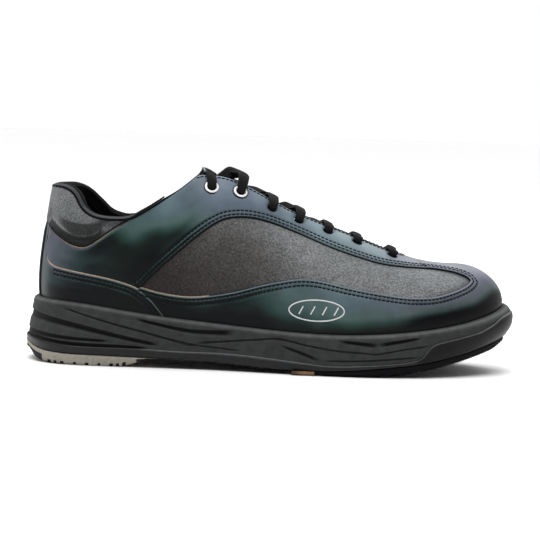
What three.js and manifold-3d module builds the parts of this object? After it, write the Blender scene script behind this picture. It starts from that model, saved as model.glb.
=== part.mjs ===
// A right-foot bowling shoe with a removable heel pad and a removable traction sole.
// Millimetres. +X runs from heel to toe, +Y to the medial side, +Z up; the shoe stands on z = 0.
import * as THREE from "three";
import { mergeVertices } from "three/addons/utils/BufferGeometryUtils.js";
import Module from "manifold-3d";

const wasm = await Module();
wasm.setup();

// ---------------------------------------------------------------- driving dimensions
const GAP = 0.35; // between neighbouring pieces
const RIBS = 40; // ribs round the upper
const LEVELS = 6; // steps up each rib
const FAR = 80; // beyond every surface of the shoe
const CENTRE = 1.5; // y of the plane that parts lateral from medial

// Layers of the upper, as offsets from its outer surface, [inner, outer].
const OVERLAY = [-1.1, 0];
const BASE = [-2.6, -1.45];
const STIFFENER = [-4.1, -2.95];
const LINING = [-5.6, -4.45];
const TONGUE_FACE = [-10.1, -9.0];
const TONGUE_FOAM = [-13.8, -10.6];
const TONGUE_LINING = [-15.4, -14.4];
const COLLAR_PAD = 5.5; // how much thicker the foam makes the collar

const CUP_DEPTH = 7; // midsole floor below the feather line
const BOARD = 2; // lasting board thickness
const PLATE_GAP = 0.3; // between stacked layers of the sole
const FASTENER = 1.1; // thickness of a hook or loop layer
const LACE_WIDTH = 4.2;
const LACE_THICKNESS = 1.6;
const HOLE_R = 3.1; // punched lace hole
const EYELET = { bore: 2.75, barrel: 3.3, flange: 4.7, sheet: 0.5, lift: 0.5 };

// ---------------------------------------------------------------- the last
// Each row: base x, y, z at the feather line; top x, half opening, z; rise and lean of the lower
// handle; reach and droop (degrees) of the upper handle. Rows run heel to toe on the lateral side,
// then toe to heel on the medial side.
const HEEL = [-142.5, 1.5, 38.0, -136, 0, 112, 24, 2.6, 24, 85];
const LATERAL = [
  [-133, -21.5, 37.6, -129.5, -18, 112, 24, 2.4, 24, 84],
  [-110, -31.5, 35.9, -112, -29, 111, 25, 1.5, 26, 80],
  [-75, -34.0, 31.3, -73, -27, 111, 27, 1.0, 24, 64],
  [-36, -36.0, 27.6, -38, 0, 120.8, 42, 1.5, 26, 0],
  [4, -42.5, 24.8, 3, 0, 102.5, 32, 2.5, 25, 0],
  [44, -48.5, 24.0, 42, 0, 85.4, 25, 3.5, 27, 0],
  [84, -44.5, 26.6, 78, 0, 71.0, 19, 3.0, 27, 0],
  [117, -29.5, 31.6, 98, 0, 66.0, 16, 2.4, 24, 0],
  [137, -11.0, 37.6, 109, 0, 65.6, 13, 1.5, 19, 0],
];
const TOE = [142.5, 6.5, 40.8, 113, 0, 65.5, 12, 1.2, 17, 0];
const MEDIAL_Y = [24, 34.5, 34, 31.5, 36.5, 46.5, 48.5, 39.5, 24];
const MEDIAL_RISE = [0, 0, 0.6, 1.4, 1.0, 0.2, 0, 0, 0]; // the arch side's feather line
const medial = LATERAL.map((row, i) => {
  const r = [...row];
  r[1] = MEDIAL_Y[i];
  r[2] += MEDIAL_RISE[i];
  r[4] = -row[4];
  return r;
});
const ROWS = [HEEL, ...LATERAL, TOE, ...medial.reverse()];
const TOP_CENTRE_Y = curveThrough([[-140, 1.5], [-40, 0.5], [40, 1.0], [80, 3.0], [113, 5.5]]);

// A smooth function of x through a few points: cubic between them, straight beyond them.
function curveThrough(points) {
  const slope = points.map((_, i) => {
    const a = points[Math.max(i - 1, 0)];
    const b = points[Math.min(i + 1, points.length - 1)];
    return (b[1] - a[1]) / (b[0] - a[0]);
  });
  return (x) => {
    let i = 0;
    while (i < points.length - 2 && x > points[i + 1][0]) i += 1;
    const [x0, y0] = points[i];
    const [x1, y1] = points[i + 1];
    if (x < x0) return y0 + slope[i] * (x - x0);
    if (x > x1) return y1 + slope[i + 1] * (x - x1);
    const w = x1 - x0;
    const u = (x - x0) / w;
    const h = u * u * (3 - 2 * u);
    return y0 + (y1 - y0) * h + w * (slope[i] * u * (1 - u) ** 2 - slope[i + 1] * u * u * (1 - u));
  };
}

// Control values of the closed cubic B-spline that passes through every row.
let control = ROWS;
for (let pass = 0; pass < 40; pass += 1) {
  const n = ROWS.length;
  control = ROWS.map((row, i) =>
    row.map((v, k) => (6 * v - control[(i + n - 1) % n][k] - control[(i + 1) % n][k]) / 4),
  );
}

// The loft row at s, which runs 0 to 1 from the heel round the lateral side, the toe and back.
function rowAt(s) {
  const n = ROWS.length;
  const at = (((s % 1) + 1) % 1) * n;
  const i = Math.floor(at);
  const u = at - i;
  const w = [(1 - u) ** 3, 3 * u ** 3 - 6 * u ** 2 + 4, -3 * u ** 3 + 3 * u ** 2 + 3 * u + 1, u ** 3];
  return ROWS[0].map((_, k) => w.reduce((sum, wj, j) => sum + wj * control[(i + j + n - 1) % n][k], 0) / 6);
}

const isLateral = (s) => s > 0 && s < 0.5;

// The four Bezier points of the rib at s.
function ribAt(s) {
  const [bx, by, bz, tx, half, tz, rise, lean, reach, droop] = rowAt(s);
  const open = isLateral(s) ? Math.min(half + 0.4, 0) : Math.max(half - 0.4, 0);
  const base = new THREE.Vector3(bx, by, bz);
  const top = new THREE.Vector3(tx, TOP_CENTRE_Y(tx) + open, tz);
  const out = new THREE.Vector3(bx - top.x, by - top.y, 0).normalize();
  const angle = (Math.max(droop, 0) * Math.PI) / 180;
  const low = base.clone().addScaledVector(out, lean).add(new THREE.Vector3(0, 0, rise));
  const high = top.clone().addScaledVector(out, reach * Math.cos(angle));
  high.z -= reach * Math.sin(angle);
  return { points: [base, low, high, top], open: Math.abs(open) };
}

function bezier(p, t) {
  const w = [(1 - t) ** 3, 3 * (1 - t) ** 2 * t, 3 * (1 - t) * t * t, t ** 3];
  return p.reduce((sum, q, i) => sum.addScaledVector(q, w[i]), new THREE.Vector3());
}

const SPINE_Z = (x) => rowAt(spineParameter(x))[5];
function spineParameter(x) {
  let lo = 4 / ROWS.length;
  let hi = 0.5;
  for (let k = 0; k < 30; k += 1) {
    const mid = (lo + hi) / 2;
    if (rowAt(mid)[3] < x) lo = mid;
    else hi = mid;
  }
  return (lo + hi) / 2;
}

// Outward unit normal of the upper at (s, t). On the closed ridge both sides share one normal.
function normalAt(s, t) {
  const e = 1e-3;
  const t0 = Math.min(Math.max(t, 0), 0.985);
  const along = bezier(ribAt(s + e).points, t0).sub(bezier(ribAt(s - e).points, t0));
  const up = bezier(ribAt(s).points, t0 + e).sub(bezier(ribAt(s).points, t0 - e));
  const normal = along.cross(up).normalize();
  const { open, points } = ribAt(s);
  const x = Math.min(points[3].x, 108);
  const onInstep = THREE.MathUtils.smoothstep(x, -70, -45) * THREE.MathUtils.clamp(1 - open / 6, 0, 1);
  const k = THREE.MathUtils.smoothstep(t, 0.88, 1) * onInstep;
  const ridge = new THREE.Vector3(SPINE_Z(x - 1) - SPINE_Z(x + 1), 0, 2).normalize();
  return normal.lerp(ridge, k).normalize();
}

const surface = (s, t, offset = 0) => bezier(ribAt(s).points, t).addScaledVector(normalAt(s, t), offset);

// ---------------------------------------------------------------- solids
// A closed solid from a geometry: shared vertices merged, collapsed triangles dropped.
function toSolid(geometry) {
  const bare = new THREE.BufferGeometry();
  bare.setAttribute("position", geometry.getAttribute("position"));
  if (geometry.index) bare.setIndex(geometry.index);
  const merged = mergeVertices(bare, 1e-3);
  const from = merged.index.array;
  const kept = [];
  for (let i = 0; i < from.length; i += 3) {
    const [a, b, c] = [from[i], from[i + 1], from[i + 2]];
    if (a !== b && b !== c && c !== a) kept.push(a, b, c);
  }
  const build = (triangles) =>
    new wasm.Manifold(
      new wasm.Mesh({
        numProp: 3,
        vertProperties: new Float32Array(merged.getAttribute("position").array),
        triVerts: new Uint32Array(triangles),
      }),
    );
  const made = build(kept);
  return made.volume() > 0 ? made : build(kept.reverse());
}

// A skin over rings of points. Point i faces point n - i, which also closes both ends.
function skin(rings) {
  const n = rings[0].length;
  const positions = rings.flat().flatMap((p) => [p.x, p.y, p.z]);
  const index = [];
  const quad = (a, b, c, d) => index.push(a, b, c, a, c, d);
  for (let k = 0; k < rings.length - 1; k += 1)
    for (let i = 0; i < n; i += 1) {
      const j = (i + 1) % n;
      quad(k * n + i, k * n + j, (k + 1) * n + j, (k + 1) * n + i);
    }
  const last = (rings.length - 1) * n;
  for (let i = 0; i < n / 2; i += 1) {
    const [a, b, c, d] = [i, i + 1, (n - i - 1) % n, (n - i) % n];
    quad(d, c, b, a);
    quad(last + a, last + b, last + c, last + d);
  }
  const geometry = new THREE.BufferGeometry();
  geometry.setAttribute("position", new THREE.Float32BufferAttribute(positions, 3));
  geometry.setIndex(index);
  return toSolid(geometry);
}

const around = (make, n = RIBS) => Array.from({ length: n }, (_, i) => make(i / n));

// Everything inside the upper's surface moved out by offset, which may be a function of (s, t).
function inside(offset) {
  const by = typeof offset === "function" ? offset : () => offset;
  const rings = [];
  for (let k = 0; k <= LEVELS; k += 1) {
    const t = k / LEVELS;
    rings.push(around((s) => surface(s, t, by(s, t))));
  }
  const floor = around((s) => {
    const p = surface(s, 0, by(s, 0));
    p.z = rowAt(s)[2] - CUP_DEPTH;
    return p;
  });
  return skin([floor, ...rings]);
}

// A side-view outline pushed through the shoe from y0 to y1.
function acrossY(outline, y0 = -FAR, y1 = FAR) {
  const shape = new THREE.Shape(outline.map(([x, z]) => new THREE.Vector2(x, z)));
  const geometry = new THREE.ExtrudeGeometry(shape, { depth: y1 - y0, bevelEnabled: false });
  geometry.rotateX(Math.PI / 2);
  geometry.translate(0, y1, 0);
  return toSolid(geometry);
}

// A plan outline pushed up from z0 to z1.
function upZ(outline, z0, z1) {
  const shape = new THREE.Shape(outline.map(([x, y]) => new THREE.Vector2(x, y)));
  const geometry = new THREE.ExtrudeGeometry(shape, { depth: z1 - z0, bevelEnabled: false });
  geometry.translate(0, 0, z0);
  return toSolid(geometry);
}

const sampled = (points, n = 20) => {
  const curve = new THREE.SplineCurve(points.map(([x, y]) => new THREE.Vector2(x, y)));
  return curve.getPoints(n).map((p) => [p.x, p.y]);
};

const moved = (points, dx, dz) => points.map(([x, z]) => [x + dx, z + dz]);

const box = (x0, x1, y0, y1, z0, z1) => {
  const geometry = new THREE.BoxGeometry(x1 - x0, y1 - y0, z1 - z0);
  geometry.translate((x0 + x1) / 2, (y0 + y1) / 2, (z0 + z1) / 2);
  return toSolid(geometry);
};

// ---------------------------------------------------------------- side-view seams, [x, z]
const FEATHER = curveThrough([
  [-142, 38], [-133, 37.6], [-110, 35.9], [-75, 31.5], [-36, 28], [4, 25], [44, 24],
  [84, 26.6], [117, 31.6], [137, 37.6], [143, 41],
]);
const TOPLINE_LATERAL = [
  [-150, 106.6], [-128, 106.6], [-121, 103], [-116, 95], [-110.5, 90.8], [-103, 88.9], [-92, 88.8],
  [-85, 90.3], [-76.5, 95.2], [-67.5, 100.8], [-58, 107.2], [-49.5, 114.2], [-42, 121], [-30, 134],
];
const TOPLINE_MEDIAL = [
  [-150, 106.6], [-127, 106.6], [-118, 103.6], [-110, 97], [-103, 90.6], [-95, 87.6], [-88, 87.4],
  [-80, 89.6], [-73, 94], [-66, 99.4], [-58, 106], [-49.5, 113.8], [-42, 121], [-30, 134],
];
const COLLAR_SEAM = [
  [-150, 87.5], [-140, 86], [-136, 79.8], [-127.5, 73.8], [-121, 70.9], [-115, 70.2], [-110, 72],
  [-104, 76.2], [-96, 82], [-85, 89.2], [-74, 96.5], [-66, 102],
];
const HEEL_SEAM = [
  [-136.6, 84], [-137.2, 76], [-138.6, 71], [-137.6, 62.6], [-133, 58.4], [-124, 56.5], [-112, 54.6],
  [-98, 52.2], [-86, 49], [-77.5, 44.4], [-71, 38.6], [-62, 27],
];
const WINDOW_TOP = [
  [-79.5, 48], [-69.4, 58.6], [-54.4, 72.6], [-42.4, 83], [-32.2, 89.8], [-24, 91.9], [-14, 92],
  [-2, 89.6], [16, 83.4], [35, 76], [53.5, 70.2], [66, 67], [80, 65.2], [97, 64], [109, 62.6],
  [119.5, 60.6], [126.4, 57.6], [128, 55.4],
];
const WINDOW_BOTTOM = [
  [128, 55.4], [125.6, 53.2], [121, 51.2], [112.8, 48], [101, 44.4], [91.5, 43.3], [81, 44.2],
  [66.6, 47.5], [48, 51.9], [29.5, 56], [20, 56.8], [11, 56], [-6, 52.2], [-23, 47.2], [-41, 43.8],
  [-54, 43.2], [-69, 45.2], [-79.5, 48],
];
const SLOT = [[-62, 15.5], [-48, 13.5], [-20, 11.5], [20, 10], [60, 9], [72, 8], [77.5, 5], [79, 0]];

// ---------------------------------------------------------------- sole lines, z by x
const OUTSOLE_TOP = [
  [-152, 15.6], [-148, 14.7], [-136, 12.8], [-119, 11.7], [-90, 11.5], [-74, 11.5], [-55, 10.9],
  [-26, 10.9], [-3, 9.6], [18, 7.8], [35, 6.4], [57, 7.2], [80, 9.2], [90, 11.2], [104, 14.6],
  [124, 19.6], [152, 30],
];
const outsoleUnder = curveThrough([
  [-151, 12.6], [-142, 8.9], [-129, 7.2], [-98, 6.6], [-77, 6.3], [-55, 6.1], [-40, 5.4], [-25, 4.5],
  [-11, 3.5], [4, 2.9], [25, 2.8], [46, 3.7], [68, 5.9], [88, 8.2], [104, 11.2], [124, 16.2], [150, 25],
]);
const ground = curveThrough([
  [-150, 3.6], [-145, 1.7], [-138, 0.5], [-128, -0.2], [-92, -0.2], [-85, 1.4], [-77.5, 3.7], [-70, 6],
  [0, 3.2], [19, 1.5], [31, -0.3], [51, -0.3], [62, 0.3], [78, 1.9], [93, 3.9], [107, 6.9], [122, 10.8],
  [137, 15.5], [148, 19.6],
]);
const WRAP_EDGE = [
  [86, -5], [88.5, 9], [91, 12.4], [95.5, 18], [100, 20.8], [110.5, 23.2], [126, 27], [135, 31.2],
  [141, 35], [147.5, 37.4], [160, 39], [160, -5],
];
// How far the side of the sole stands out from the feather line, from its bottom edge to its rim.
const SIDE_HEEL = [8.0, 7.2, 6.2, 5.4, 4.6, 2.7];
const SIDE_MIDDLE = [4.6, 5.2, 5.2, 4.9, 4.3, 2.7];
const SIDE_TOE = [3.0, 4.8, 5.9, 6.0, 5.0, 2.6];
const WRAP = 1.7; // thickness of the toe wrap

function plan(s, d) {
  const e = 1e-3;
  const [x, y] = rowAt(s);
  const ahead = rowAt(s + e);
  const behind = rowAt(s - e);
  const across = new THREE.Vector2(ahead[1] - behind[1], behind[0] - ahead[0]).normalize();
  return new THREE.Vector3(x + across.x * d, y + across.y * d, 0);
}

function sideOffset(s, h) {
  const x = rowAt(s)[0];
  const rear = THREE.MathUtils.smoothstep(-x, 85, 140);
  const front = THREE.MathUtils.smoothstep(x, 95, 138);
  const at = Math.min(h, 0.9999) * (SIDE_HEEL.length - 1);
  const i = Math.floor(at);
  const pick = (side) => side[i] + (side[i + 1] - side[i]) * (at - i);
  return pick(SIDE_HEEL) * rear + pick(SIDE_TOE) * front + pick(SIDE_MIDDLE) * (1 - rear - front);
}

// One ring of a sole layer: offset d from the feather line, height z(x, s).
const soleRing = (d, z) =>
  around((s) => {
    const p = plan(s, typeof d === "function" ? d(s) : d);
    p.z = z(p.x, s);
    return p;
  });
const rim = (s) => rowAt(s)[2] + 0.6;

function soleBlock(inset) {
  const heights = [0, 0.1, 0.35, 0.6, 0.82, 1];
  return skin(
    heights.map((h) =>
      soleRing(
        (s) => sideOffset(s, h) - inset,
        (x, s) => outsoleUnder(x) + (rim(s) - outsoleUnder(x)) * h,
      ),
    ),
  );
}
const cup = skin([
  soleRing(GAP, (x, s) => rim(s) - 0.6 - CUP_DEPTH),
  soleRing(GAP, (x, s) => rim(s) + 5),
]);
const belowOutsoleTop = (rise) =>
  acrossY([...OUTSOLE_TOP.map(([x, z]) => [x, z + rise]), [160, -20], [-160, -20]]);

// A slab between two heights, its outline d outside the feather line.
const slab = (d, low, high) => skin([soleRing(d, low), soleRing(d, high)]);
// A tread piece: its side draws in towards the ground.
const tread = (low) =>
  skin([
    soleRing((s) => sideOffset(s, 0) - 1.2 - 3.4 * THREE.MathUtils.smoothstep(-rowAt(s)[0], 100, 140), low),
    soleRing((s) => sideOffset(s, 0) - 0.4 - 1.2 * THREE.MathUtils.smoothstep(-rowAt(s)[0], 100, 140),
      (x) => low(x) + Math.min(1.8, 0.4 * (outsoleUnder(x) - low(x)))),
    soleRing((s) => sideOffset(s, 0), (x) => outsoleUnder(x) - PLATE_GAP),
  ]);
const between = (x0, x1) => box(x0, x1, -FAR, FAR, 0, 150);

// ---------------------------------------------------------------- regions of the upper
const belowFeather = skin([
  soleRing(0.8, () => -20),
  soleRing(0.8, (x, s) => rowAt(s)[2] - CUP_DEPTH + PLATE_GAP * 7 + BOARD),
]);
function aboveTopline(rise) {
  const half = (line, y0, y1) =>
    acrossY([...sampled(moved(line, 0, rise), 26), [-30, 160], [-150, 160]], y0, y1);
  return half(TOPLINE_LATERAL, -FAR, CENTRE).add(half(TOPLINE_MEDIAL, CENTRE, FAR));
}
const slotCentre = (x) => 0.5 + Math.max(x, 0) * 0.02;
function slotHalf(x) {
  let i = 0;
  while (i < SLOT.length - 2 && x > SLOT[i + 1][0]) i += 1;
  const [x0, y0] = SLOT[i];
  const [x1, y1] = SLOT[i + 1];
  return y0 + ((y1 - y0) * (x - x0)) / (x1 - x0);
}
function slotCut(grow) {
  const side = SLOT.map(([x, y]) => [y > 0 ? x : x + grow, y > 0 ? y + grow : 0]);
  const outline = [...side, ...side.slice(0, -1).map(([x, y]) => [x, -y]).reverse()];
  return upZ(outline.map(([x, y]) => [x, y + slotCentre(x)]), 40, 150);
}
const slot = slotCut(0);
const throughCollar = aboveTopline(0);

const lateralHalf = (gap) => box(-FAR * 2, FAR * 2, -FAR, CENTRE - gap / 2, -10, 150);
const medialHalf = (gap) => box(-FAR * 2, FAR * 2, CENTRE + gap / 2, FAR, -10, 150);

const windowOutline = [...sampled(WINDOW_TOP, 26), ...sampled(WINDOW_BOTTOM, 24).slice(1, -1)];
const sideWindow = acrossY(windowOutline, -FAR, CENTRE - 8).add(acrossY(windowOutline, CENTRE + 8, FAR));
const underHeelSeam = (grow) =>
  acrossY([...sampled(moved(HEEL_SEAM, grow, grow), 20), [-62, 0], [-160, 0], [-160, 84 + grow]]);
const overCollarSeam = (drop) =>
  acrossY([...sampled(moved(COLLAR_SEAM, 0, -drop), 20), [-66, 160], [-150, 160]]);
const toeSide = (gap) =>
  upZ([[160, -FAR], [160, FAR], [-90, FAR], [97, 32], [88, 1], [97, -30], [-90, -FAR]]
    .map(([x, y]) => [x + gap, y]), -10, 150);
const belowWindow = (rise) =>
  acrossY([...sampled(moved(WINDOW_BOTTOM, 0, rise), 24), [-92, 50 + rise], [-92, -10], [128, -10]]);

// ---------------------------------------------------------------- pieces of the upper
const layer = ([inner, outer]) => inside(outer).subtract(inside(inner)).subtract(belowFeather);
const collarPadding = (s, t) => {
  const p = bezier(ribAt(s).points, t);
  const rearward = 1 - THREE.MathUtils.smoothstep(p.x, -92, -52);
  return COLLAR_PAD * rearward * THREE.MathUtils.smoothstep(p.z, 60, 82);
};
const padded = (offset) => inside((s, t) => offset - collarPadding(s, t));

// Where the lace passes through the upper: x of each row from the throat up.
const LACE_ROWS = [72.8, 51, 33, 15, -1.5, -21, -38.5];
const EYELET_ROWS = 2; // the top rows carry metal eyelets
const HOLE_INSET = 6.4; // hole centre to eyestay edge

// Surface parameters of the point with this x and y; side is -1 lateral, 1 medial.
function locate(x, y, side) {
  let s = spineParameter(x);
  if (side > 0) s = 1 - s;
  let t = 0.85;
  const e = 1e-3;
  for (let k = 0; k < 30; k += 1) {
    const p = bezier(ribAt(s).points, t);
    const ds = bezier(ribAt(s + e).points, t).sub(p).divideScalar(e);
    const dt = bezier(ribAt(s).points, t + e).sub(p).divideScalar(e);
    const det = ds.x * dt.y - ds.y * dt.x;
    const [fx, fy] = [x - p.x, y - p.y];
    s += THREE.MathUtils.clamp((fx * dt.y - fy * dt.x) / det, -0.02, 0.02);
    t += THREE.MathUtils.clamp((ds.x * fy - ds.y * fx) / det, -0.2, 0.2);
    t = THREE.MathUtils.clamp(t, 0, 0.999);
  }
  return [s, t];
}
const holes = LACE_ROWS.map((x) =>
  [-1, 1].map((side) => {
    const [s, t] = locate(x, slotCentre(x) + side * (slotHalf(x) + HOLE_INSET), side);
    return { at: surface(s, t), normal: normalAt(s, t) };
  }),
);

// A turned solid from a half profile of [radius, height], standing along a normal at a point.
function turned(profile, { at, normal }, segments = 20) {
  const geometry = new THREE.LatheGeometry(profile.map(([r, z]) => new THREE.Vector2(r, z)), segments);
  const turn = new THREE.Quaternion().setFromUnitVectors(new THREE.Vector3(0, 1, 0), normal);
  geometry.applyMatrix4(new THREE.Matrix4().compose(at, turn, new THREE.Vector3(1, 1, 1)));
  return toSolid(geometry);
}
function punch(solid, wider = 0) {
  const tools = holes.flatMap((row, i) => {
    const r = wider + (i >= LACE_ROWS.length - EYELET_ROWS ? EYELET.barrel + GAP : HOLE_R);
    return row.map((hole) => turned([[0, -9], [r, -9], [r, 3], [0, 3]], hole, 12));
  });
  return tools.reduce((left, tool) => left.subtract(tool), solid);
}
const eyeletProfile = [
  [EYELET.bore, -5.2], [EYELET.barrel, -5.2], [EYELET.barrel, EYELET.lift], [EYELET.flange, EYELET.lift],
  [EYELET.flange - 0.3, EYELET.lift + EYELET.sheet], [EYELET.bore, EYELET.lift + EYELET.sheet],
  [EYELET.bore, -5.2],
];

const overlay = punch(layer(OVERLAY).subtract(throughCollar).subtract(slot)).subtract(sideWindow);
const base = punch(layer(BASE).subtract(throughCollar).subtract(slot));
const lining = punch(
  padded(LINING[1]).subtract(padded(LINING[0])).subtract(belowFeather).subtract(throughCollar)
    .subtract(slotCut(0.8)),
  0.8,
);
const stiffener = layer(STIFFENER);

const notHeel = overlay.subtract(underHeelSeam(GAP));
const heelZone = overlay.intersect(underHeelSeam(0)).subtract(overCollarSeam(0));
const BACKSTAY = { half: 6.5, top: 84 };
const strip = (grow) =>
  box(-160, -120, CENTRE - BACKSTAY.half - grow, CENTRE + BACKSTAY.half + grow, 0, BACKSTAY.top + grow);
const quarterRing = notHeel.subtract(toeSide(-GAP)).subtract(belowWindow(GAP)).subtract(overCollarSeam(0));
const baseBelow = base.subtract(overCollarSeam(GAP));
const foamZone = overCollarSeam(2).intersect(box(-160, -70, -FAR, FAR, 0, 150));
const collarWall = inside(OVERLAY[0]).subtract(padded(LINING[0]));

// ---------------------------------------------------------------- tongue
const TONGUE_WIDTH = curveThrough([[-50, 25], [0, 21], [60, 17], [82, 12]]); // half width by x
const TONGUE_ROWS = [80, 62, 44, 26, 8, -10, -26, -38];
function tongueLayer([inner, outer]) {
  const section = (s, half) => {
    const points = (offset) => {
      const side = (from) => {
        const top = surface(from, 1, TONGUE_FACE[1]);
        let t = 1;
        while (t > 0.4 && surface(from, t, TONGUE_FACE[1]).distanceTo(top) < half) t -= 0.01;
        return [0, 1, 2, 3].map((k) => surface(from, t + ((0.999 - t) * k) / 3, offset));
      };
      return [...side(s), ...side(1 - s).reverse()];
    };
    return [...points(outer), ...points(inner).reverse()];
  };
  const rings = TONGUE_ROWS.map((x) => section(spineParameter(x), TONGUE_WIDTH(x)));
  const last = rings[rings.length - 1];
  const middle = last.reduce((sum, p) => sum.add(p), new THREE.Vector3()).divideScalar(last.length);
  const extend = (dx, dz, scale) =>
    last.map((p) => new THREE.Vector3(p.x + dx, middle.y + (p.y - middle.y) * scale, p.z + dz));
  rings.push(extend(-9, 5.0, 0.97), extend(-15, 9.5, 0.82));
  return skin(rings);
}

// ---------------------------------------------------------------- lace
const LACE_OVER = 1.9; // lace centreline above the upper
const LACE_UNDER = -7.35; // lace centreline below the upper
const CROSS = 1.6; // half the height between crossing strands

// A point over or under the upper at (x, y), offset along the normal there.
function over(x, y, offset) {
  const side = y < slotCentre(x) ? -1 : 1;
  const [s, t] = locate(x, y, side);
  const p = bezier(ribAt(s).points, t).addScaledVector(normalAt(s, t), offset);
  return p;
}
const holeXY = (row, side) => {
  const x = LACE_ROWS[row];
  return [x, slotCentre(x) + side * (slotHalf(x) + HOLE_INSET)];
};
// Down through a hole from above, as centreline points.
const throughHole = (row, side) => {
  const { at, normal } = holes[row][(side + 1) / 2];
  return [1.9, -0.2, -2.8, -5.5].map((d) => at.clone().addScaledVector(normal, d));
};
// From under the hole of one row, up through the slot and over to the other side's next hole.
function crossing(row, side, lift) {
  const [x0, y0] = holeXY(row, side);
  const [x1, y1] = holeXY(row + 1, -side);
  const steps = [
    [0.06, LACE_UNDER + 0.1], [0.17, LACE_UNDER], [0.3, -5.2], [0.4, lift - 1],
    [0.5, lift], [0.66, 1.4], [0.8, LACE_OVER + 0.2], [0.92, LACE_OVER + 1.3],
  ];
  return steps.map(([u, d]) => over(x0 + (x1 - x0) * u, y0 + (y1 - y0) * u, d));
}
function strand(first, lift) {
  const points = [...throughHole(0, first)];
  let side = first;
  for (let row = 0; row < LACE_ROWS.length - 1; row += 1) {
    points.push(...crossing(row, side, row % 2 ? -lift : lift), ...throughHole(row + 1, -side));
    side = -side;
  }
  // The loose end runs down the inside of the quarter and forward along the insole.
  const insideQuarter = [[-37.5, -7.2, 0.77], [-34, -7.8, 0.64], [-26, -8, 0.48], [-14, -8, 0.3]];
  const lying = insideQuarter.map(([x, offset, t]) => {
    const s = spineParameter(x);
    return surface(side < 0 ? s : 1 - s, t, offset);
  });
  const floorAt = (x) => FEATHER(x) + 3.8;
  const forward = [[4, 24], [24, 25], [48, 25], [70, 22], [88, 16]].map(
    ([x, y]) => new THREE.Vector3(x, side * y + 1, floorAt(x)),
  );
  return [...points, ...lying, ...forward];
}
const strandA = strand(-1, -CROSS);
const strandB = strand(1, CROSS);
const bar = [-1, -0.5, 0, 0.5, 1].map((u) => {
  const [x] = holeXY(0, 1);
  return over(x + 0.3, slotCentre(x) + u * (slotHalf(x) + HOLE_INSET - 1.2), LACE_OVER);
});
const lacePoints = [...strandA.reverse(), ...bar, ...strandB];
const laceCurve = new THREE.CatmullRomCurve3(lacePoints, false, "centripetal");

function sweep(curve, count, width, thickness) {
  const forward = new THREE.Vector3(0.92, 0, -0.4); // along the eyestays
  let wide = null;
  const rings = [];
  for (let k = 0; k <= count; k += 1) {
    const along = curve.getTangentAt(k / count);
    const want = wide ?? forward;
    wide = want.clone().addScaledVector(along, -want.dot(along)).normalize();
    if (Math.abs(forward.dot(along)) < 0.8) {
      const level = forward.clone().addScaledVector(along, -forward.dot(along)).normalize();
      if (level.dot(wide) < 0) level.negate();
      wide.lerp(level, 0.35).addScaledVector(along, -wide.dot(along)).normalize();
    }
    const thick = along.clone().cross(wide);
    const at = curve.getPointAt(k / count);
    const rows = [[1, 0], [0.6, 1], [-0.6, 1], [-1, 0], [-0.6, -1], [0.6, -1]];
    rings.push(
      rows.map(([a, b]) =>
        at.clone().addScaledVector(wide, (a * width) / 2).addScaledVector(thick, (b * thickness) / 2)),
    );
  }
  return skin(rings);
}

// ---------------------------------------------------------------- the assembly
const group = new THREE.Group();
group.name = "bowling_shoe";
group.position.set(1, -0.2, 0); // the middle of the bounding box stands over the origin
const triangles = (solid) => {
  const mesh = solid.getMesh();
  const positions = new Float32Array(mesh.numVert * 3);
  for (let i = 0; i < mesh.numVert; i += 1)
    for (let k = 0; k < 3; k += 1) positions[3 * i + k] = mesh.vertProperties[mesh.numProp * i + k];
  const geometry = new THREE.BufferGeometry();
  geometry.setAttribute("position", new THREE.BufferAttribute(positions, 3));
  geometry.setIndex(new THREE.BufferAttribute(mesh.triVerts, 1));
  return geometry;
};
// Adds a piece, keeping its largest body where a cut leaves a sliver beside it.
function add(name, solid, color, roughness, metalness = 0) {
  const body = solid.decompose().sort((a, b) => b.volume() - a.volume())[0].simplify(0.05);
  const material = new THREE.MeshStandardMaterial({ color, roughness, metalness });
  const mesh = new THREE.Mesh(triangles(body), material);
  mesh.name = name;
  group.add(mesh);
}

// Sole
const belowTop = belowOutsoleTop(0).add(acrossY(WRAP_EDGE).subtract(soleBlock(WRAP)));
const aboveTop = belowOutsoleTop(GAP).add(
  acrossY(moved(WRAP_EDGE, -GAP / 2, GAP)).subtract(soleBlock(WRAP + GAP)),
);
const block = soleBlock(0);
const SHANK = { from: -95, to: -2, half: 7, thick: 1.2 };
const cupFloor = (x) => FEATHER(x) - CUP_DEPTH;
const shankOutline = (grow) => {
  const [from, to] = [SHANK.from - grow, SHANK.to + grow];
  const xs = Array.from({ length: 9 }, (_, i) => from + ((to - from) * i) / 8);
  const top = xs.map((x) => [x, cupFloor(x) - 0.6 + grow * 5]);
  const under = xs.map((x) => [x, cupFloor(x) - 0.6 - SHANK.thick - grow]).reverse();
  return acrossY([...top, ...under], 1 - SHANK.half - grow, 1 + SHANK.half + grow);
};
add("midsole", block.subtract(cup).subtract(aboveTop).subtract(shankOutline(GAP)), 0x3b3d40, 0.75);
add("outsole", block.subtract(cup).intersect(belowTop), 0x14161c, 0.5);
add("shank", shankOutline(0), 0x9a9da0, 0.4, 0.9);
const boardUnder = (x, s) => rowAt(s)[2] - CUP_DEPTH + PLATE_GAP;
const boardTop = (x, s) => boardUnder(x, s) + BOARD;
const insoleUnder = (x, s) => boardTop(x, s) + PLATE_GAP;
const insoleTop = (x, s) => boardTop(x, s) + 4.2;
add("lasting_board", slab(-0.9, boardUnder, boardTop), 0x8a7a60, 0.9);
add("insole", slab(-6.8, insoleUnder, insoleTop), 0x2c2f33, 0.9);

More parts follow.
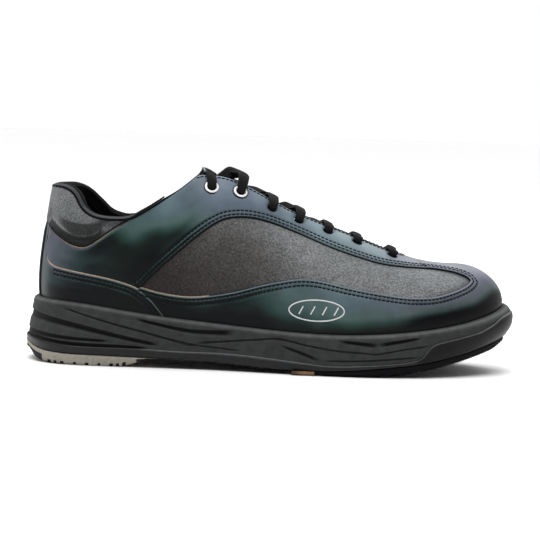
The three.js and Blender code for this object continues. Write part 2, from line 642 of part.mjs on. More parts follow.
// Heel pad and traction sole, each held by a hook layer above and a loop layer below
const hookTop = (x) => outsoleUnder(x) - 0.15;
const hookUnder = (x) => hookTop(x) - FASTENER * 0.8;
const loopTop = (x) => hookUnder(x) - 0.2;
const loopUnder = (x) => loopTop(x) - FASTENER * 0.8;
const PATCH_INSET = 6;
const heelSpan = between(-136, -84);
const soleSpan = between(47, 128);
const pocket = (x0, x1) =>
  slab(-PATCH_INSET + GAP, (x) => loopUnder(x) - 0.2, (x) => outsoleUnder(x) + 1)
    .intersect(between(x0 - GAP, x1 + GAP));
const heelTread = tread(ground).intersect(between(-160, -70)).subtract(pocket(-136, -84));
// Dark tread let into the lower corners of the pad, rear and front
const rearCorner = (grow) =>
  acrossY([[-160, -5], [-141.5 + grow, -5], [-141.5 + grow, 4.4 + grow], [-160, 10 + grow]]);
const frontCorner = (grow) =>
  acrossY([[-84 - grow, -5], [-60, -5], [-60, 6.2 + grow], [-84 - grow, 4 + grow]]);
add("heel_pad", heelTread.subtract(rearCorner(GAP)).subtract(frontCorner(GAP)), 0xa79c86, 0.85);
add("heel_pad_rear_edge", heelTread.intersect(rearCorner(0)), 0x1b1d26, 0.7);
add("heel_pad_front_edge", heelTread.intersect(frontCorner(0)), 0x1b1d26, 0.7);
add("heel_hook_patch", slab(-PATCH_INSET, hookUnder, hookTop).intersect(heelSpan), 0x101114, 0.95);
add("heel_loop_patch", slab(-PATCH_INSET, loopUnder, loopTop).intersect(heelSpan), 0x26282c, 0.95);
const SOLE_START = 27;
const soleTread = tread(ground).intersect(between(SOLE_START, 160));
add("traction_sole", soleTread.subtract(pocket(47, 128)), 0x0f1013, 0.8);
add("sole_hook_patch", slab(-PATCH_INSET, hookUnder, hookTop).intersect(soleSpan), 0x101114, 0.95);
add("sole_loop_patch", slab(-PATCH_INSET, loopUnder, loopTop).intersect(soleSpan), 0x26282c, 0.95);
add("sole_pull_tab", box(13, SOLE_START - GAP, -52, -38, 0.8, 2.5), 0xb08a5c, 0.8);

// Upper
add("toe_overlay", notHeel.intersect(toeSide(0).add(belowWindow(0))), 0x3f4a52, 0.45);
add("quarter_overlay_lateral", quarterRing.intersect(lateralHalf(GAP)), 0x5a7078, 0.42);
add("quarter_overlay_medial", quarterRing.intersect(medialHalf(GAP)), 0x5a7078, 0.42);
add("heel_overlay_lateral", heelZone.subtract(strip(GAP)).intersect(lateralHalf(0)), 0x39414a, 0.45);
add("heel_overlay_medial", heelZone.subtract(strip(GAP)).intersect(medialHalf(0)), 0x39414a, 0.45);
add("backstay", heelZone.intersect(strip(0)), 0x24262a, 0.6);
add("side_panel_lateral", baseBelow.intersect(lateralHalf(GAP)), 0x45413d, 0.8);
add("side_panel_medial", baseBelow.intersect(medialHalf(GAP)), 0x45413d, 0.8);
add("collar_panel", base.intersect(overCollarSeam(0)), 0x3a3d42, 0.8);
add("collar_foam", inside(STIFFENER[1]).subtract(padded(STIFFENER[0])).intersect(foamZone)
  .subtract(throughCollar).subtract(slot), 0xb9b6a8, 0.95);
add("collar_binding", collarWall.intersect(aboveTopline(GAP)).subtract(aboveTopline(2.6))
  .intersect(box(-160, -69, -FAR, FAR, 0, 150)), 0x6e7479, 0.85);
add("lining", lining, 0x3c4045, 0.95);
add("toe_puff", stiffener.intersect(between(100, 160)), 0xc9c2b0, 0.8);
add("heel_counter", stiffener.intersect(box(-160, -88, -FAR, FAR, 0, 66)), 0xc9c2b0, 0.8);
add("tongue_face", tongueLayer(TONGUE_FACE), 0x5a6a72, 0.5);
add("tongue_foam", tongueLayer(TONGUE_FOAM), 0xb9b6a8, 0.95);
add("tongue_lining", tongueLayer(TONGUE_LINING), 0x3c4045, 0.95);

// Fastening
const NAMES = [["lateral", -1], ["medial", 1]];
NAMES.forEach(([word], k) =>
  ["lower", "upper"].forEach((level, i) =>
    add(`eyelet_${word}_${level}`, turned(eyeletProfile, holes[5 + i][k]), 0xdfe2e4, 0.25, 1)));
const AGLET = { length: 20, gap: 0.5 };
add("lace", sweep(laceCurve, 200, LACE_WIDTH, LACE_THICKNESS), 0x2f3133, 0.9);
NAMES.forEach(([word], k) => {
  const end = laceCurve.getPointAt(k);
  const normal = laceCurve.getTangentAt(k).multiplyScalar(k ? 1 : -1);
  const { length, gap } = AGLET;
  add(`aglet_${word}`, turned([[0, gap], [1.4, gap], [1.4, length], [0, length]], { at: end, normal }, 10),
    0x2a2c2e, 0.4);
});

export default group;
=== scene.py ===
"""A bowling shoe for the right foot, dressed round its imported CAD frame.

Shapes are worked out in millimetres in the CAD's own frame and turned into metres when a mesh is made.
+X runs from heel to toe, +Y to the medial side, +Z up.
"""
import math

import bmesh
import bpy
import numpy as np
from mathutils import Matrix, Vector
from mathutils.geometry import delaunay_2d_cdt
from mathutils.kdtree import KDTree


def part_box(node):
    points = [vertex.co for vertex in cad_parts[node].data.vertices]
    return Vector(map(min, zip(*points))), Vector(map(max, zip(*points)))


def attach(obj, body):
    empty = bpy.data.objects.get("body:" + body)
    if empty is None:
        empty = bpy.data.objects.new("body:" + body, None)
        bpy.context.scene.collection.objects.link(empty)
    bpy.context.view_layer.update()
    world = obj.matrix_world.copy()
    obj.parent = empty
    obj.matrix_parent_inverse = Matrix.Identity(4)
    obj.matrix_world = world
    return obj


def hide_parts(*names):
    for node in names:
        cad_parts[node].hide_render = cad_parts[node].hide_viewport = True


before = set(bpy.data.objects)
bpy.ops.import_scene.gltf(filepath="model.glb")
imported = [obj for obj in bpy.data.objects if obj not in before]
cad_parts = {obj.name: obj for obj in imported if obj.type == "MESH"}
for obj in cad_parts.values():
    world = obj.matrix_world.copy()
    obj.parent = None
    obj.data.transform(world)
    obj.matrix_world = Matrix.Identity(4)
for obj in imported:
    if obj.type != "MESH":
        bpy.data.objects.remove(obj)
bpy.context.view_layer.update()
MM = 0.001
TO_FRAME = np.array([1.0, -0.2, 0.0])  # the CAD puts the middle of its box over the origin

# ---------------------------------------------------------------- camera
# A long lens a little above the sole's level on the lateral side, turned slightly about its axis.
CAMERA = {"tilt": 4.7, "roll": 1.84, "distance": 1.4, "width": 0.3329, "sensor": 36.0}
aim = Vector((-0.0006, 0.0, 0.0583))
tilt = math.radians(CAMERA["tilt"])
camera_data = bpy.data.cameras.new("camera")
camera_data.sensor_width = CAMERA["sensor"]
camera_data.lens = CAMERA["sensor"] * CAMERA["distance"] / CAMERA["width"]
camera = bpy.data.objects.new("camera", camera_data)
bpy.context.scene.collection.objects.link(camera)
camera.location = aim + CAMERA["distance"] * Vector((0, -math.cos(tilt), math.sin(tilt)))
looking = (aim - camera.location).to_track_quat("-Z", "Y").to_matrix().to_4x4()
camera.matrix_world = (
    Matrix.Translation(camera.location) @ looking @ Matrix.Rotation(math.radians(CAMERA["roll"]), 4, "Z")
)
bpy.context.scene.camera = camera

# ---------------------------------------------------------------- the last
# Base x, y, z at the feather line; top x, half opening, z; rise and lean of the lower handle;
# reach and droop (degrees) of the upper handle. Heel to toe on the lateral side, then back.
HEEL = (-142.5, 1.5, 38.0, -136, 0, 112, 24, 2.6, 24, 85)
LATERAL = [
    (-133, -21.5, 37.6, -129.5, -18, 112, 24, 2.4, 24, 84),
    (-110, -31.5, 35.9, -112, -29, 111, 25, 1.5, 26, 80),
    (-75, -34.0, 31.3, -73, -27, 111, 27, 1.0, 24, 64),
    (-36, -36.0, 27.6, -38, 0, 120.8, 42, 1.5, 26, 0),
    (4, -42.5, 24.8, 3, 0, 102.5, 32, 2.5, 25, 0),
    (44, -48.5, 24.0, 42, 0, 85.4, 25, 3.5, 27, 0),
    (84, -44.5, 26.6, 78, 0, 71.0, 19, 3.0, 27, 0),
    (117, -29.5, 31.6, 98, 0, 66.0, 16, 2.4, 24, 0),
    (137, -11.0, 37.6, 109, 0, 65.6, 13, 1.5, 19, 0),
]
TOE = (142.5, 6.5, 40.8, 113, 0, 65.5, 12, 1.2, 17, 0)
MEDIAL_Y = (24, 34.5, 34, 31.5, 36.5, 46.5, 48.5, 39.5, 24)
MEDIAL_RISE = (0, 0, 0.6, 1.4, 1.0, 0.2, 0, 0, 0)
MIDDLE = 1.5  # y of the plane between the two sides
LAT, MED = -1, 1


def curve(points):
    """A smooth function of x through a few points, straight beyond them."""
    px, pz = np.array(points, float).T
    n = len(px)
    before = np.maximum(np.arange(n) - 1, 0)
    after = np.minimum(np.arange(n) + 1, n - 1)
    slope = (pz[after] - pz[before]) / (px[after] - px[before])

    def at(x):
        x = np.asarray(x, float)
        i = np.clip(np.searchsorted(px, x) - 1, 0, n - 2)
        w = px[i + 1] - px[i]
        u = np.clip((x - px[i]) / w, 0, 1)
        z = pz[i] + (pz[i + 1] - pz[i]) * u * u * (3 - 2 * u)
        z = z + w * (slope[i] * u * (1 - u) ** 2 - slope[i + 1] * u * u * (1 - u))
        z = z + np.where(x < px[0], slope[0] * (x - px[0]), 0)
        return z + np.where(x > px[-1], slope[-1] * (x - px[-1]), 0)

    return at


def smooth(x, low, high):
    u = np.clip((np.asarray(x, float) - low) / (high - low), 0, 1)
    return u * u * (3 - 2 * u)


def loft_rows():
    medial = [
        (b[0], y, b[2] + rise, b[3], -b[4], *b[5:]) for b, y, rise in zip(LATERAL, MEDIAL_Y, MEDIAL_RISE)
    ]
    rows = np.array([HEEL, *LATERAL, TOE, *medial[::-1]], float)
    control = rows.copy()
    for _ in range(40):
        control = (6 * rows - np.roll(control, 1, 0) - np.roll(control, -1, 0)) / 4
    return control


CONTROL = loft_rows()
N_ROWS = len(CONTROL)
top_centre = curve([(-140, 1.5), (-40, 0.5), (40, 1.0), (80, 3.0), (113, 5.5)])


def row_at(s):
    """The loft row at s: 0 at the heel, 0.25 lateral, 0.5 at the toe, 0.75 medial."""
    at = (np.asarray(s, float) % 1) * N_ROWS
    i = np.floor(at).astype(int)
    u = (at - i)[..., None]
    w = [(1 - u) ** 3, 3 * u**3 - 6 * u**2 + 4, -3 * u**3 + 3 * u**2 + 3 * u + 1, u**3]
    return sum(wj * CONTROL[(i + j - 1) % N_ROWS] for j, wj in enumerate(w)) / 6


def ribs(s):
    bx, by, bz, tx, half, tz, rise, lean, reach, droop = np.moveaxis(row_at(s), -1, 0)
    lateral = ((np.asarray(s) % 1) > 0) & ((np.asarray(s) % 1) < 0.5)
    opening = np.where(lateral, np.minimum(half + 0.4, 0), np.maximum(half - 0.4, 0))
    base = np.stack([bx, by, bz], -1)
    top = np.stack([tx, top_centre(tx) + opening, tz], -1)
    out = (base - top) * [1, 1, 0]
    out = out / np.linalg.norm(out, axis=-1, keepdims=True)
    angle = np.radians(np.maximum(droop, 0))
    up = np.array([0, 0, 1.0])
    low = base + out * lean[..., None] + up * rise[..., None]
    high = top + out * (reach * np.cos(angle))[..., None] - up * (reach * np.sin(angle))[..., None]
    return (base, low, high, top), np.abs(opening)


def bezier(points, t):
    t = np.asarray(t, float)[..., None]
    w = [(1 - t) ** 3, 3 * (1 - t) ** 2 * t, 3 * (1 - t) * t * t, t**3]
    return sum(q * wi for q, wi in zip(points, w))


ridge_s = np.linspace(4 / N_ROWS, 0.5, 400)
ridge_x, ridge_z = row_at(ridge_s)[:, 3], row_at(ridge_s)[:, 5]


def normals(s, t):
    """Outward unit normals of the upper; on the closed ridge both sides share one."""
    e = 1e-3
    t0 = np.clip(t, 0, 0.985)
    along = bezier(ribs(s + e)[0], t0) - bezier(ribs(s - e)[0], t0)
    points, opening = ribs(s)
    rise = bezier(points, t0 + e) - bezier(points, t0 - e)
    n = np.cross(along, rise)
    n /= np.linalg.norm(n, axis=-1, keepdims=True)
    x = np.minimum(points[3][..., 0], 108)
    k = smooth(t, 0.88, 1) * smooth(x, -70, -45) * np.clip(1 - opening / 6, 0, 1)
    slope = np.interp(x - 1, ridge_x, ridge_z) - np.interp(x + 1, ridge_x, ridge_z)
    ridge = np.stack([slope, 0 * slope, 2 + 0 * slope], -1)
    ridge /= np.linalg.norm(ridge, axis=-1, keepdims=True)
    n = n + (ridge - n) * k[..., None]
    return n / np.linalg.norm(n, axis=-1, keepdims=True)


def upper(s, t, offset=0.0):
    """Points of the upper's outer surface, moved out along its normal."""
    s, t = np.broadcast_arrays(np.asarray(s, float), np.asarray(t, float))
    p = bezier(ribs(s)[0], t)
    if np.any(offset):
        p = p + normals(s, t) * np.broadcast_to(offset, s.shape)[..., None]
    return p


def fit(targets, keep, s_range, t_range=(0.0, 1.0)):
    """Surface parameters of the points nearest to the targets, comparing only the kept axes."""
    targets = np.atleast_2d(np.asarray(targets, float))
    gs, gt = np.meshgrid(np.linspace(*s_range, 300), np.linspace(*t_range, 90), indexing="ij")
    grid = upper(gs.ravel(), gt.ravel())[:, keep]
    best = [int(np.argmin(((grid - q) ** 2).sum(1))) for q in targets]
    s, t = gs.ravel()[best], gt.ravel()[best]
    ds, dt = (s_range[1] - s_range[0]) / 300, (t_range[1] - t_range[0]) / 90
    moves = np.array([(a, b) for a in (-1, 0, 1) for b in (-1, 0, 1)], float)
    for _ in range(12):
        ss = np.clip(s[:, None] + moves[:, 0] * ds, *s_range)
        tt = np.clip(t[:, None] + moves[:, 1] * dt, *t_range)
        gap = ((upper(ss, tt)[..., keep] - targets[:, None]) ** 2).sum(-1)
        pick = gap.argmin(1)
        s, t = ss[np.arange(len(s)), pick], tt[np.arange(len(s)), pick]
        ds, dt = ds * 0.6, dt * 0.6
    return np.stack([s, t], 1)


SIDE, PLAN = [0, 2], [0, 1]  # the axes kept by a side view and by a plan
HALF = {LAT: (0.0, 0.5), MED: (0.5, 1.0)}


def spline(points, n):
    """n points along a Catmull-Rom curve through a few points."""
    p = np.array(points, float)
    q = np.vstack([p[:1], p, p[-1:]])
    at = np.linspace(0, len(p) - 1, n)
    i = np.minimum(at.astype(int), len(p) - 2)
    u = (at - i)[:, None]
    a, b, c, d = q[i], q[i + 1], q[i + 2], q[i + 3]
    return 0.5 * (2 * b + (c - a) * u + (2 * a - 5 * b + 4 * c - d) * u**2 + (3 * b - a - 3 * c + d) * u**3)


def evenly(points, spacing, of=None):
    """Points spaced evenly along a path, measured along `of` if that is given."""
    p = np.asarray(points, float)
    m = p if of is None else np.asarray(of, float)
    run = np.concatenate([[0], np.cumsum(np.linalg.norm(np.diff(m, axis=0), axis=1))])
    n = max(2, int(round(run[-1] / spacing)) + 1)
    at = np.linspace(0, run[-1], n)
    return np.stack([np.interp(at, run, c) for c in p.T], 1)


# ---------------------------------------------------------------- sole lines, z by x
outsole_top = curve([
    (-152, 15.6), (-148, 14.7), (-136, 12.8), (-119, 11.7), (-90, 11.5), (-74, 11.5), (-55, 10.9),
    (-26, 10.9), (-3, 9.6), (18, 7.8), (35, 6.4), (57, 7.2), (80, 9.2), (90, 11.2), (104, 14.6),
    (124, 19.6), (152, 30),
])
outsole_under = curve([
    (-151, 12.6), (-142, 8.9), (-129, 7.2), (-98, 6.6), (-77, 6.3), (-55, 6.1), (-40, 5.4), (-25, 4.5),
    (-11, 3.5), (4, 2.9), (25, 2.8), (46, 3.7), (68, 5.9), (88, 8.2), (104, 11.2), (124, 16.2), (150, 25),
])
ground = curve([
    (-150, 3.6), (-145, 1.7), (-138, 0.5), (-128, -0.2), (-92, -0.2), (-85, 1.4), (-77.5, 3.7), (-70, 6),
    (0, 3.2), (19, 1.5), (31, -0.3), (51, -0.3), (62, 0.3), (78, 1.9), (93, 3.9), (107, 6.9), (122, 10.8),
    (137, 15.5), (148, 19.6),
])
wrap_edge = curve([
    (88, 10.9), (91, 12.4), (95.5, 18), (100, 20.8), (110.5, 23.2), (126, 27), (135, 31.2), (141, 35),
    (148, 37.6),
])
SIDE_HEEL = (8.0, 7.2, 6.2, 5.4, 4.6, 2.7)
SIDE_MIDDLE = (4.6, 5.2, 5.2, 4.9, 4.3, 2.7)
SIDE_TOE = (3.0, 4.8, 5.9, 6.0, 5.0, 2.6)


def plan(s, d):
    """x and y at s on the feather line, moved out by d."""
    e = 1e-3
    here, ahead, behind = row_at(s), row_at(s + e), row_at(s - e)
    across = np.stack([ahead[..., 1] - behind[..., 1], behind[..., 0] - ahead[..., 0]], -1)
    across /= np.linalg.norm(across, axis=-1, keepdims=True)
    return here[..., :2] + across * np.asarray(d)[..., None]


def side_offset(s, h):
    """How far the sole's side stands out from the feather line, h from 0 at its foot to 1 at its rim."""
    x = row_at(s)[..., 0]
    rear, front = smooth(-x, 85, 140), smooth(x, 95, 138)
    at = np.linspace(0, 1, len(SIDE_HEEL))
    pick = lambda side: np.interp(h, at, side)
    return pick(SIDE_HEEL) * rear + pick(SIDE_TOE) * front + pick(SIDE_MIDDLE) * (1 - rear - front)


def rim(s):
    return row_at(s)[..., 2] + 0.6

# ---------------------------------------------------------------- mesh making
SCALE = np.array([700.0, 95.0])  # rough millimetres per unit of s and t


def add_mesh(name, points, faces, body="shoe", materials=(), index=None, uv=None, shade=None):
    """A mesh object from points in millimetres in the CAD's frame.
    shade: painted light for each point, from 1 for painted shade through 0 to -1 for a painted highlight."""
    mesh = bpy.data.meshes.new(name)
    mesh.from_pydata(((np.asarray(points) + TO_FRAME) * MM).tolist(), [], [list(map(int, f)) for f in faces])
    mesh.shade_smooth()
    for m in materials:
        mesh.materials.append(m)
    if index is not None:
        mesh.polygons.foreach_set("material_index", np.asarray(index, np.int32))
    if uv is not None:
        layer = mesh.uv_layers.new(name="uv")
        corner = np.zeros(len(mesh.loops), np.int32)
        mesh.loops.foreach_get("vertex_index", corner)
        layer.data.foreach_set("uv", np.asarray(uv, np.float32)[corner].ravel())
    if shade is not None:
        layer = mesh.attributes.new("shade", "FLOAT", "POINT")
        layer.data.foreach_set("value", np.asarray(shade, np.float32))
    mesh.update()
    made = bpy.data.objects.new(name, mesh)
    bpy.context.scene.collection.objects.link(made)
    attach(made, body)
    return made


def grid_faces(rows, columns, wrap=False):
    """Faces of a grid of points stored row by row; wrap joins the last column to the first."""
    r, c = np.meshgrid(np.arange(rows - 1), np.arange(columns if wrap else columns - 1), indexing="ij")
    r, c = r.ravel(), c.ravel()
    d = (c + 1) % columns
    return np.stack([r * columns + c, r * columns + d, (r + 1) * columns + d, (r + 1) * columns + c], 1)


def inside(points, polygon):
    """Which points lie inside a closed polygon."""
    x, y = np.asarray(points, float).T
    result = np.zeros(len(x), bool)
    a, b = polygon, np.roll(polygon, -1, 0)
    for (x0, y0), (x1, y1) in zip(a, b):
        if y0 != y1:
            hit = (y0 > y) != (y1 > y)
            result ^= hit & (x < (x1 - x0) * (y - y0) / (y1 - y0) + x0)
    return result


def polish(st, targets, rounds=4):
    """Moves surface parameters so that the surface passes nearest to the 3-D targets."""
    s, t = st.T.copy()
    e = 1e-4
    for _ in range(rounds):
        gap = targets - upper(s, t)
        ds = (upper(s + e, t) - upper(s - e, t)) / (2 * e)
        dt = (upper(s, t + e) - upper(s, t - e)) / (2 * e)
        a, b, c = (ds * ds).sum(1), (ds * dt).sum(1), (dt * dt).sum(1)
        f, g = (ds * gap).sum(1), (dt * gap).sum(1)
        det = np.maximum(a * c - b * b, 1e-6)
        s = s + np.clip((c * f - b * g) / det, -0.02, 0.02)
        t = np.clip(t + np.clip((a * g - b * f) / det, -0.1, 0.1), -0.06, 1)
    return np.stack([s, t], 1)


def inset(st, distance, closed=False, flip=1):
    """A path moved sideways over the surface, to its left seen from outside when flip is 1."""
    p = upper(*st.T)
    if closed:
        along = np.roll(p, -2, 0) - np.roll(p, 2, 0)
    else:
        q = np.vstack([p[:1], p[:1], p, p[-1:], p[-1:]])
        along = q[4:] - q[:-4]
    along /= np.maximum(np.linalg.norm(along, axis=1, keepdims=True), 1e-9)
    sideways = np.cross(normals(*st.T), along) * flip
    return polish(st, p + sideways * distance)


def nearest(points, path):
    """Distance of each point to a densely sampled path, and the index of the nearest sample."""
    tree = KDTree(len(path))
    for i, q in enumerate(path):
        tree.insert(q, i)
    tree.balance()
    found = [tree.find(p) for p in points]
    return np.array([f[2] for f in found]), np.array([f[1] for f in found])


def outline(*segments, spacing=0.9):
    """Joins (kind, path of s and t) segments into one closed outline, with each point's kind."""
    st, kinds = [], []
    for kind, path in segments:
        path = evenly(path, spacing, of=upper(*np.asarray(path).T))
        st.append(path[:-1])
        kinds += [kind] * (len(path) - 1)
    st = np.vstack(st)
    far = np.linalg.norm((st - np.roll(st, -1, 0)) * SCALE, axis=1) > 0.15
    return st[far], np.array(kinds)[far]


def area(st):
    x, y = (st * SCALE).T
    return 0.5 * np.sum(x * np.roll(y, -1) - np.roll(x, -1) * y)


EDGE_SLANT = 0.6  # how far the foot of a visible cut edge stands out
SLANT = ("raw", "dark")
EDGE_STEPS = (0.3, 0.7, 1.2, 1.7, 2.2, 2.9, 3.5, 4.1, 4.7, 5.8, 7.2)
STITCH_ROWS = (1.7, 4.1)  # distance of the double rows from a cut edge


def overlay_profile(d):
    """Height over a cut leather edge, by distance from it."""
    return 0.12 * smooth(d, 6, 12) - 0.4 * np.exp(-((d / 0.4) ** 1.2))


def panel(name, shape, materials, bottom=-1.35, top=0.0, profile=overlay_profile, step=1.9, holes=(),
          shade=None):
    """A piece of leather on the last: its top surface and its cut edge, which slants where it shows.
    shape is (closed path, kinds); a "raw" edge shows the leather's pale core."""
    st, kind = shape
    if area(st) < 0:
        st, kind = st[::-1], np.roll(kind[::-1], -1)
    rim3 = upper(*st.T)
    dense = np.vstack([
        np.linspace(rim3[i], rim3[(i + 1) % len(st)], 4)[:-1] for i in range(len(st)) if kind[i] != "join"
    ])
    layers = [st]
    flat = st * SCALE
    for d in EDGE_STEPS:
        moved = inset(st, d, closed=True)
        ok = inside(moved * SCALE, flat)
        ok[ok] &= nearest(upper(*moved[ok].T), dense)[0] > d * 0.93 - 0.02
        keep = moved[ok]
        layers.append(keep[:: 1 if d < 3 else 2])
    low, high = st.min(0), st.max(0)
    gs = np.arange(low[0], high[0], step / SCALE[0])
    gt = np.arange(low[1], high[1], step / SCALE[1])
    gs, gt = np.meshgrid(gs, gt, indexing="ij")
    gs = gs + (np.arange(gs.shape[1]) % 2) * 0.5 * step / SCALE[0]
    grid = np.stack([gs.ravel(), gt.ravel()], 1)
    grid = grid[inside(grid * SCALE, flat)]
    away = nearest(upper(*grid.T), dense)[0]
    grid = grid[away > EDGE_STEPS[-1] + 0.6 * step]
    loops = [st]
    rims = []
    for centre, radius in holes:
        normal = normals(*centre[None].T)[0]
        side = np.cross(normal, [1, 0, 0])
        side /= np.linalg.norm(side)
        turn = np.linspace(0, 2 * np.pi, 24, endpoint=False)[:, None]
        around = np.cos(turn) * side + np.sin(turn) * np.cross(normal, side)
        start = np.repeat(centre[None], 24, 0)
        middle = upper(*centre[None].T)
        loops.append(polish(start, middle + radius * around, 6))
        rims.append(polish(start, middle + (radius + 0.5) * around, 6))
        rims.append(polish(start, middle + (radius + 1.1) * around, 6))
        keep = np.linalg.norm(upper(*grid.T) - middle, axis=1) > radius + 1.7
        grid = grid[keep]
        for i in range(1, len(layers)):
            layers[i] = layers[i][np.linalg.norm(upper(*layers[i].T) - middle, axis=1) > radius + 1.7]
    points = np.vstack([*loops, *layers[1:], *rims, grid]) * SCALE
    edges, start = [], 0
    for loop in loops:
        n = len(loop)
        edges += [(start + i, start + (i + 1) % n) for i in range(n)]
        start += n
    verts, _, faces, back, _, _ = delaunay_2d_cdt([Vector(p) for p in points], edges, [], 0, 1e-5)
    flat_points = np.array(verts)
    faces = np.array(faces)
    middle = flat_points[faces].mean(1)
    ok = inside(middle, flat)
    for loop in loops[1:]:
        ok &= ~inside(middle, loop * SCALE)
    faces = faces[ok]
    got = flat_points / SCALE
    p3 = upper(*got.T)
    d = nearest(p3, dense)[0]
    height = (top(p3) if callable(top) else top) + profile(d)
    if profile is overlay_profile:  # the thread pulls the leather down
        height = height - 0.28 * np.exp(-((nearest(p3, sewn)[0] / 0.5) ** 2))
    for loop in loops[1:]:
        height = height - 0.25 * np.exp(-((nearest(p3, upper(*loop.T))[0] / 0.5) ** 2))
    surface = upper(*got.T, height)
    first = surface[faces[:, 0]]
    facing = np.cross(surface[faces[:, 1]] - first, surface[faces[:, 2]] - first)
    wrong = (facing * normals(*got[faces[:, 0]].T)).sum(1) < 0
    faces[wrong] = faces[wrong][:, ::-1]
    of_input = {}
    for out, sources in enumerate(back):
        for source in sources:
            of_input[source] = out
    all_points, all_faces, index = [surface], [tuple(f) for f in faces], [0] * len(faces)
    count, start = len(surface), 0
    for k, loop in enumerate(loops):
        n = len(loop)
        ring = [of_input[start + i] for i in range(n)]
        upper_ring = surface[ring]
        low_st = got[ring]
        if k == 0:
            slanted = np.isin(kind, list(SLANT))
            low_st[slanted] = inset(st, -EDGE_SLANT, closed=True)[slanted]
        lower_ring = upper(*low_st.T, bottom)
        all_points += [upper_ring, lower_ring]
        for i in range(n):
            j = (i + 1) % n
            if k == 0 and kind[i] == "join":
                continue
            face = (count + i, count + n + i, count + n + j, count + j)
            all_faces.append(face if k == 0 else face[::-1])
            index.append(2 if k == 0 and kind[i] == "raw" else 1)
        count += 2 * n
        start += n
    all_points = np.vstack(all_points)
    tone = None
    if shade:
        tone = np.zeros(len(all_points))
        tone[: len(surface)] = shade(p3)
    made = add_mesh(name, all_points, all_faces, materials=materials, index=index, shade=tone)
    joined = {of_input[i] for i in range(len(st)) if "join" in (kind[i], kind[i - 1])}
    if joined:
        weld(made, joined)
    return made


def weld(piece, among, distance=0.02):
    """Merges those vertices that meet, so that the surface runs on smoothly."""
    bm = bmesh.new()
    bm.from_mesh(piece.data)
    bm.verts.ensure_lookup_table()
    bmesh.ops.remove_doubles(bm, verts=[bm.verts[i] for i in among], dist=distance * MM)
    bm.to_mesh(piece.data)
    bm.free()


# ---------------------------------------------------------------- stitching
STITCH = {"length": 2.2, "pitch": 2.6, "width": 0.95, "height": 0.55}
stitch_runs, sewn_lines = [], []


def sew(path, distances, flip, lift=None, where=None, tight=False):
    """Remembers rows of stitches along a path, at these distances to its side.
    lift(points) gives their height; tight stitches follow each other without a gap."""
    path = evenly(path, 1.0, of=upper(*np.asarray(path).T))
    for d in distances:
        row = inset(path, d, flip=flip)
        if where is not None:
            row = row[where(upper(*row.T))]
        sewn_lines.append(evenly(upper(*row.T), 0.6))
        row = evenly(row, STITCH["length" if tight else "pitch"] * (0.86 if tight else 1), of=upper(*row.T))
        stitch_runs.append((row, lift(upper(*row.T)) if lift else 0.0))


def stitch_mesh(name, runs, material, body="shoe"):
    """Every stitch of the runs as a small crowned bar whose ends dive into the leather."""
    k = np.linspace(-1, 1, 7)
    reach = k * STITCH["length"] / 2
    sink = -0.45 * np.abs(k) ** 4
    size = np.clip(1.25 - 0.55 * k**2, 0, 1)
    turn = np.linspace(0, 2 * np.pi, 6, endpoint=False)
    points, faces = [], []
    count = 0
    for row, lift in runs:
        s, t = row.T
        p, n = upper(s, t, lift), normals(s, t)
        q = np.vstack([p[:1], p, p[-1:]])
        along = q[2:] - q[:-2]
        along /= np.maximum(np.linalg.norm(along, axis=1, keepdims=True), 1e-9)
        across = np.cross(n, along)
        for i in range(len(p)):
            lean = 0.07 * math.sin(2.4 * i) + 0.05
            a = along[i] + across[i] * lean
            b = across[i] - along[i] * lean
            ring = (
                p[i]
                + reach[:, None, None] * a
                + (np.cos(turn)[None, :, None] * size[:, None, None] * STITCH["width"] / 2) * b
                + (0.12 + sink[:, None, None]
                   + np.sin(turn)[None, :, None] * size[:, None, None] * STITCH["height"] / 2) * n[i]
            )
            points.append(ring.reshape(-1, 3))
            faces.append(grid_faces(7, 6, wrap=True) + count)
            count += 42
    return add_mesh(name, np.vstack(points), np.vstack(faces), body, [material])


# ---------------------------------------------------------------- materials
# painted light: faces turned to the heel are painted as lit from behind
REARWARD_LIGHT = -0.25  # how much a face turned to the heel counts as turned up, for the shifting leather


def grey(v):
    return (v, v, v)


class Nodes:
    """The nodes of a material or world, added one by one and linked as they are made."""

    def __init__(self, owner):
        owner.use_nodes = True
        self.nodes, self.links = owner.node_tree.nodes, owner.node_tree.links

    def feed(self, node, inputs):
        """Links the sockets to the node's inputs and stores the plain values in them."""
        for key, value in inputs.items():
            if isinstance(value, bpy.types.NodeSocket):
                self.links.new(value, node.inputs[key])
            else:
                node.inputs[key].default_value = value

    def add(self, kind, inputs=None, **settings):
        node = self.nodes.new("ShaderNode" + kind)
        for key, value in settings.items():
            setattr(node, key, value)
        self.feed(node, inputs or {})
        return node.outputs

    def math(self, operation, *values):
        return self.add("Math", dict(enumerate(values)), operation=operation)[0]

    def noise(self, vector, scale, detail=2.0):
        return self.add("TexNoise", {"Vector": vector, "Scale": scale, "Detail": detail})

    def ranged(self, value, low, high, to_low=0, to_high=1, **settings):
        """The value taken from low..high to to_low..to_high."""
        inputs = {"Value": value, "From Min": low, "From Max": high, "To Min": to_low, "To Max": to_high}
        return self.add("MapRange", inputs, **settings)["Result"]

    def ramp(self, value, stops):
        node = self.nodes.new("ShaderNodeValToRGB")
        elements = node.color_ramp.elements
        while len(elements) < len(stops):
            elements.new(0.5)
        for element, (at, colour) in zip(elements, stops):
            element.position = at
            element.color = (*colour, 1)
        self.links.new(value, node.inputs["Fac"])
        return node.outputs["Color"]

    def times(self, colour, by, strength=1.0):
        """One colour multiplied by another."""
        inputs = {"Factor": strength, "A": colour, "B": by}
        return self.add("Mix", inputs, data_type="RGBA", blend_type="MULTIPLY")["Result"]


